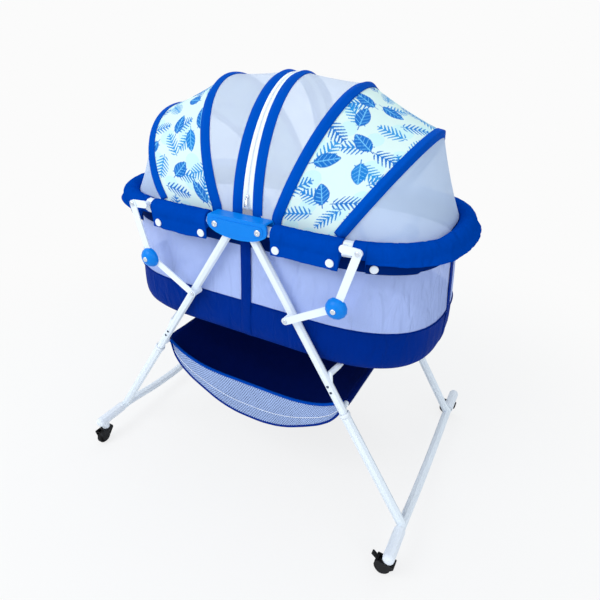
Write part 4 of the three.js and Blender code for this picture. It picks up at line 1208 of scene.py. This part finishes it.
def finish_frame():
    for name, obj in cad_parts.items():
        for mat, starts in FINISHES:
            if name.startswith(starts):
                obj.data.materials.clear()
                obj.data.materials.append(mat)


# Camera, light and floor

PAPER = (0.965, 0.965, 0.965, 1)
SKY = (0.88, 0.95, 1.0, 1)
LAMP_COLOUR = (0.95, 0.975, 1.0)
LAMPS = (
    ("key", (-1.1, -2.2, 2.5), 1.8, 50),
    ("fill", (2.2, -1.7, 1.5), 2.0, 18),
    ("top", (-0.2, 0.9, 3.0), 2.2, 16),
)
# The camera that was fitted to the photograph: angles in degrees, the rest in metres and millimetres of lens
CAMERA_ROUND, CAMERA_UP, CAMERA_ROLL = 26.7, 28.2, 2.2
CAMERA_TARGET, CAMERA_DISTANCE = (0.0163, 0.025, 0.4258), 1.3139
SENSOR, LENS = 36, 29.53


def make_camera():
    scene = bpy.context.scene
    az, el, roll = (math.radians(a) for a in (CAMERA_ROUND, CAMERA_UP, CAMERA_ROLL))
    back = Vector((math.sin(az) * math.cos(el), -math.cos(az) * math.cos(el), math.sin(el)))
    right = Vector((math.cos(az), math.sin(az), 0))
    up = back.cross(right)
    cam_x = math.cos(roll) * right + math.sin(roll) * up
    cam_y = -math.sin(roll) * right + math.cos(roll) * up
    at = Vector(CAMERA_TARGET) + back * CAMERA_DISTANCE
    data = bpy.data.cameras.new("camera")
    data.sensor_width = SENSOR
    data.lens = LENS
    cam = bpy.data.objects.new("camera", data)
    columns = (cam_x, cam_y, back, at)
    cam.matrix_world = Matrix([[c[k] for c in columns] for k in range(3)] + [[0, 0, 0, 1]])
    bpy.context.collection.objects.link(cam)
    scene.camera = cam
    scene.view_settings.view_transform = "Standard"


def make_lamps():
    for name, place, size, power in LAMPS:
        lamp = bpy.data.lights.new(name, "AREA")
        lamp.size = size
        lamp.energy = power
        lamp.color = LAMP_COLOUR
        obj = bpy.data.objects.new(name, lamp)
        obj.location = place
        obj.rotation_euler = (Vector((0, 0, 0.55)) - obj.location).to_track_quat("-Z", "Y").to_euler()
        bpy.context.collection.objects.link(obj)


def make_world():
    """Blue-tinted sky light, with white paper where the world itself is seen."""
    world = bpy.data.worlds.new("studio")
    bpy.context.scene.world = world
    n = Tree(world)
    sky = n.tree.nodes["Background"]
    sky.inputs["Color"].default_value = SKY
    sky.inputs["Strength"].default_value = 0.62
    white = n.add("Background", in_Color=PAPER, in_Strength=1.0)
    rays = n.add("LightPath").outputs
    seen = n.math("MAXIMUM", rays["Is Camera Ray"], rays["Is Glossy Ray"])
    seen = n.math("MAXIMUM", seen, rays["Is Transmission Ray"])
    n.show(seen, sky, white, "World Output")


def make_floor():
    """White paper that keeps a faint shadow near the object and fades to plain white."""
    n = Nodes("floor")
    n.tree.nodes.remove(n.bsdf)
    diffuse = n.add("BsdfDiffuse", in_Color=(0.9, 0.9, 0.9, 1))
    glow = n.add("Emission", in_Color=PAPER, in_Strength=1.0)
    reach = n.add("VectorMath", operation="LENGTH")
    n.link(n.coords("Object"), reach.inputs[0])
    fade = n.ranged(reach.outputs["Value"], 0.8, 1.0, 0.45, 1.7, ease="SMOOTHSTEP")
    share = n.math("MULTIPLY", n.add("LightPath").outputs["Is Camera Ray"], fade)
    n.show(share, diffuse, glow, "Material Output")
    bpy.ops.mesh.primitive_plane_add(size=30, location=(0, 0, -0.0005))
    floor = bpy.context.object
    floor.name = "floor"
    floor.data.materials.append(n.mat)


make_camera()
make_lamps()
make_world()
make_floor()
finish_frame()
for side, sign in SIDES:
    make_sleeve(side, sign)
    make_snaps(side, sign)
    make_canopy(side, sign)
make_bag_net()
make_bag_hem()
make_tub()
make_side_straps()
make_end_straps()
make_mattress()
make_basket()
make_rivets()
make_leg_marks()

bpy.context.view_layer.update()
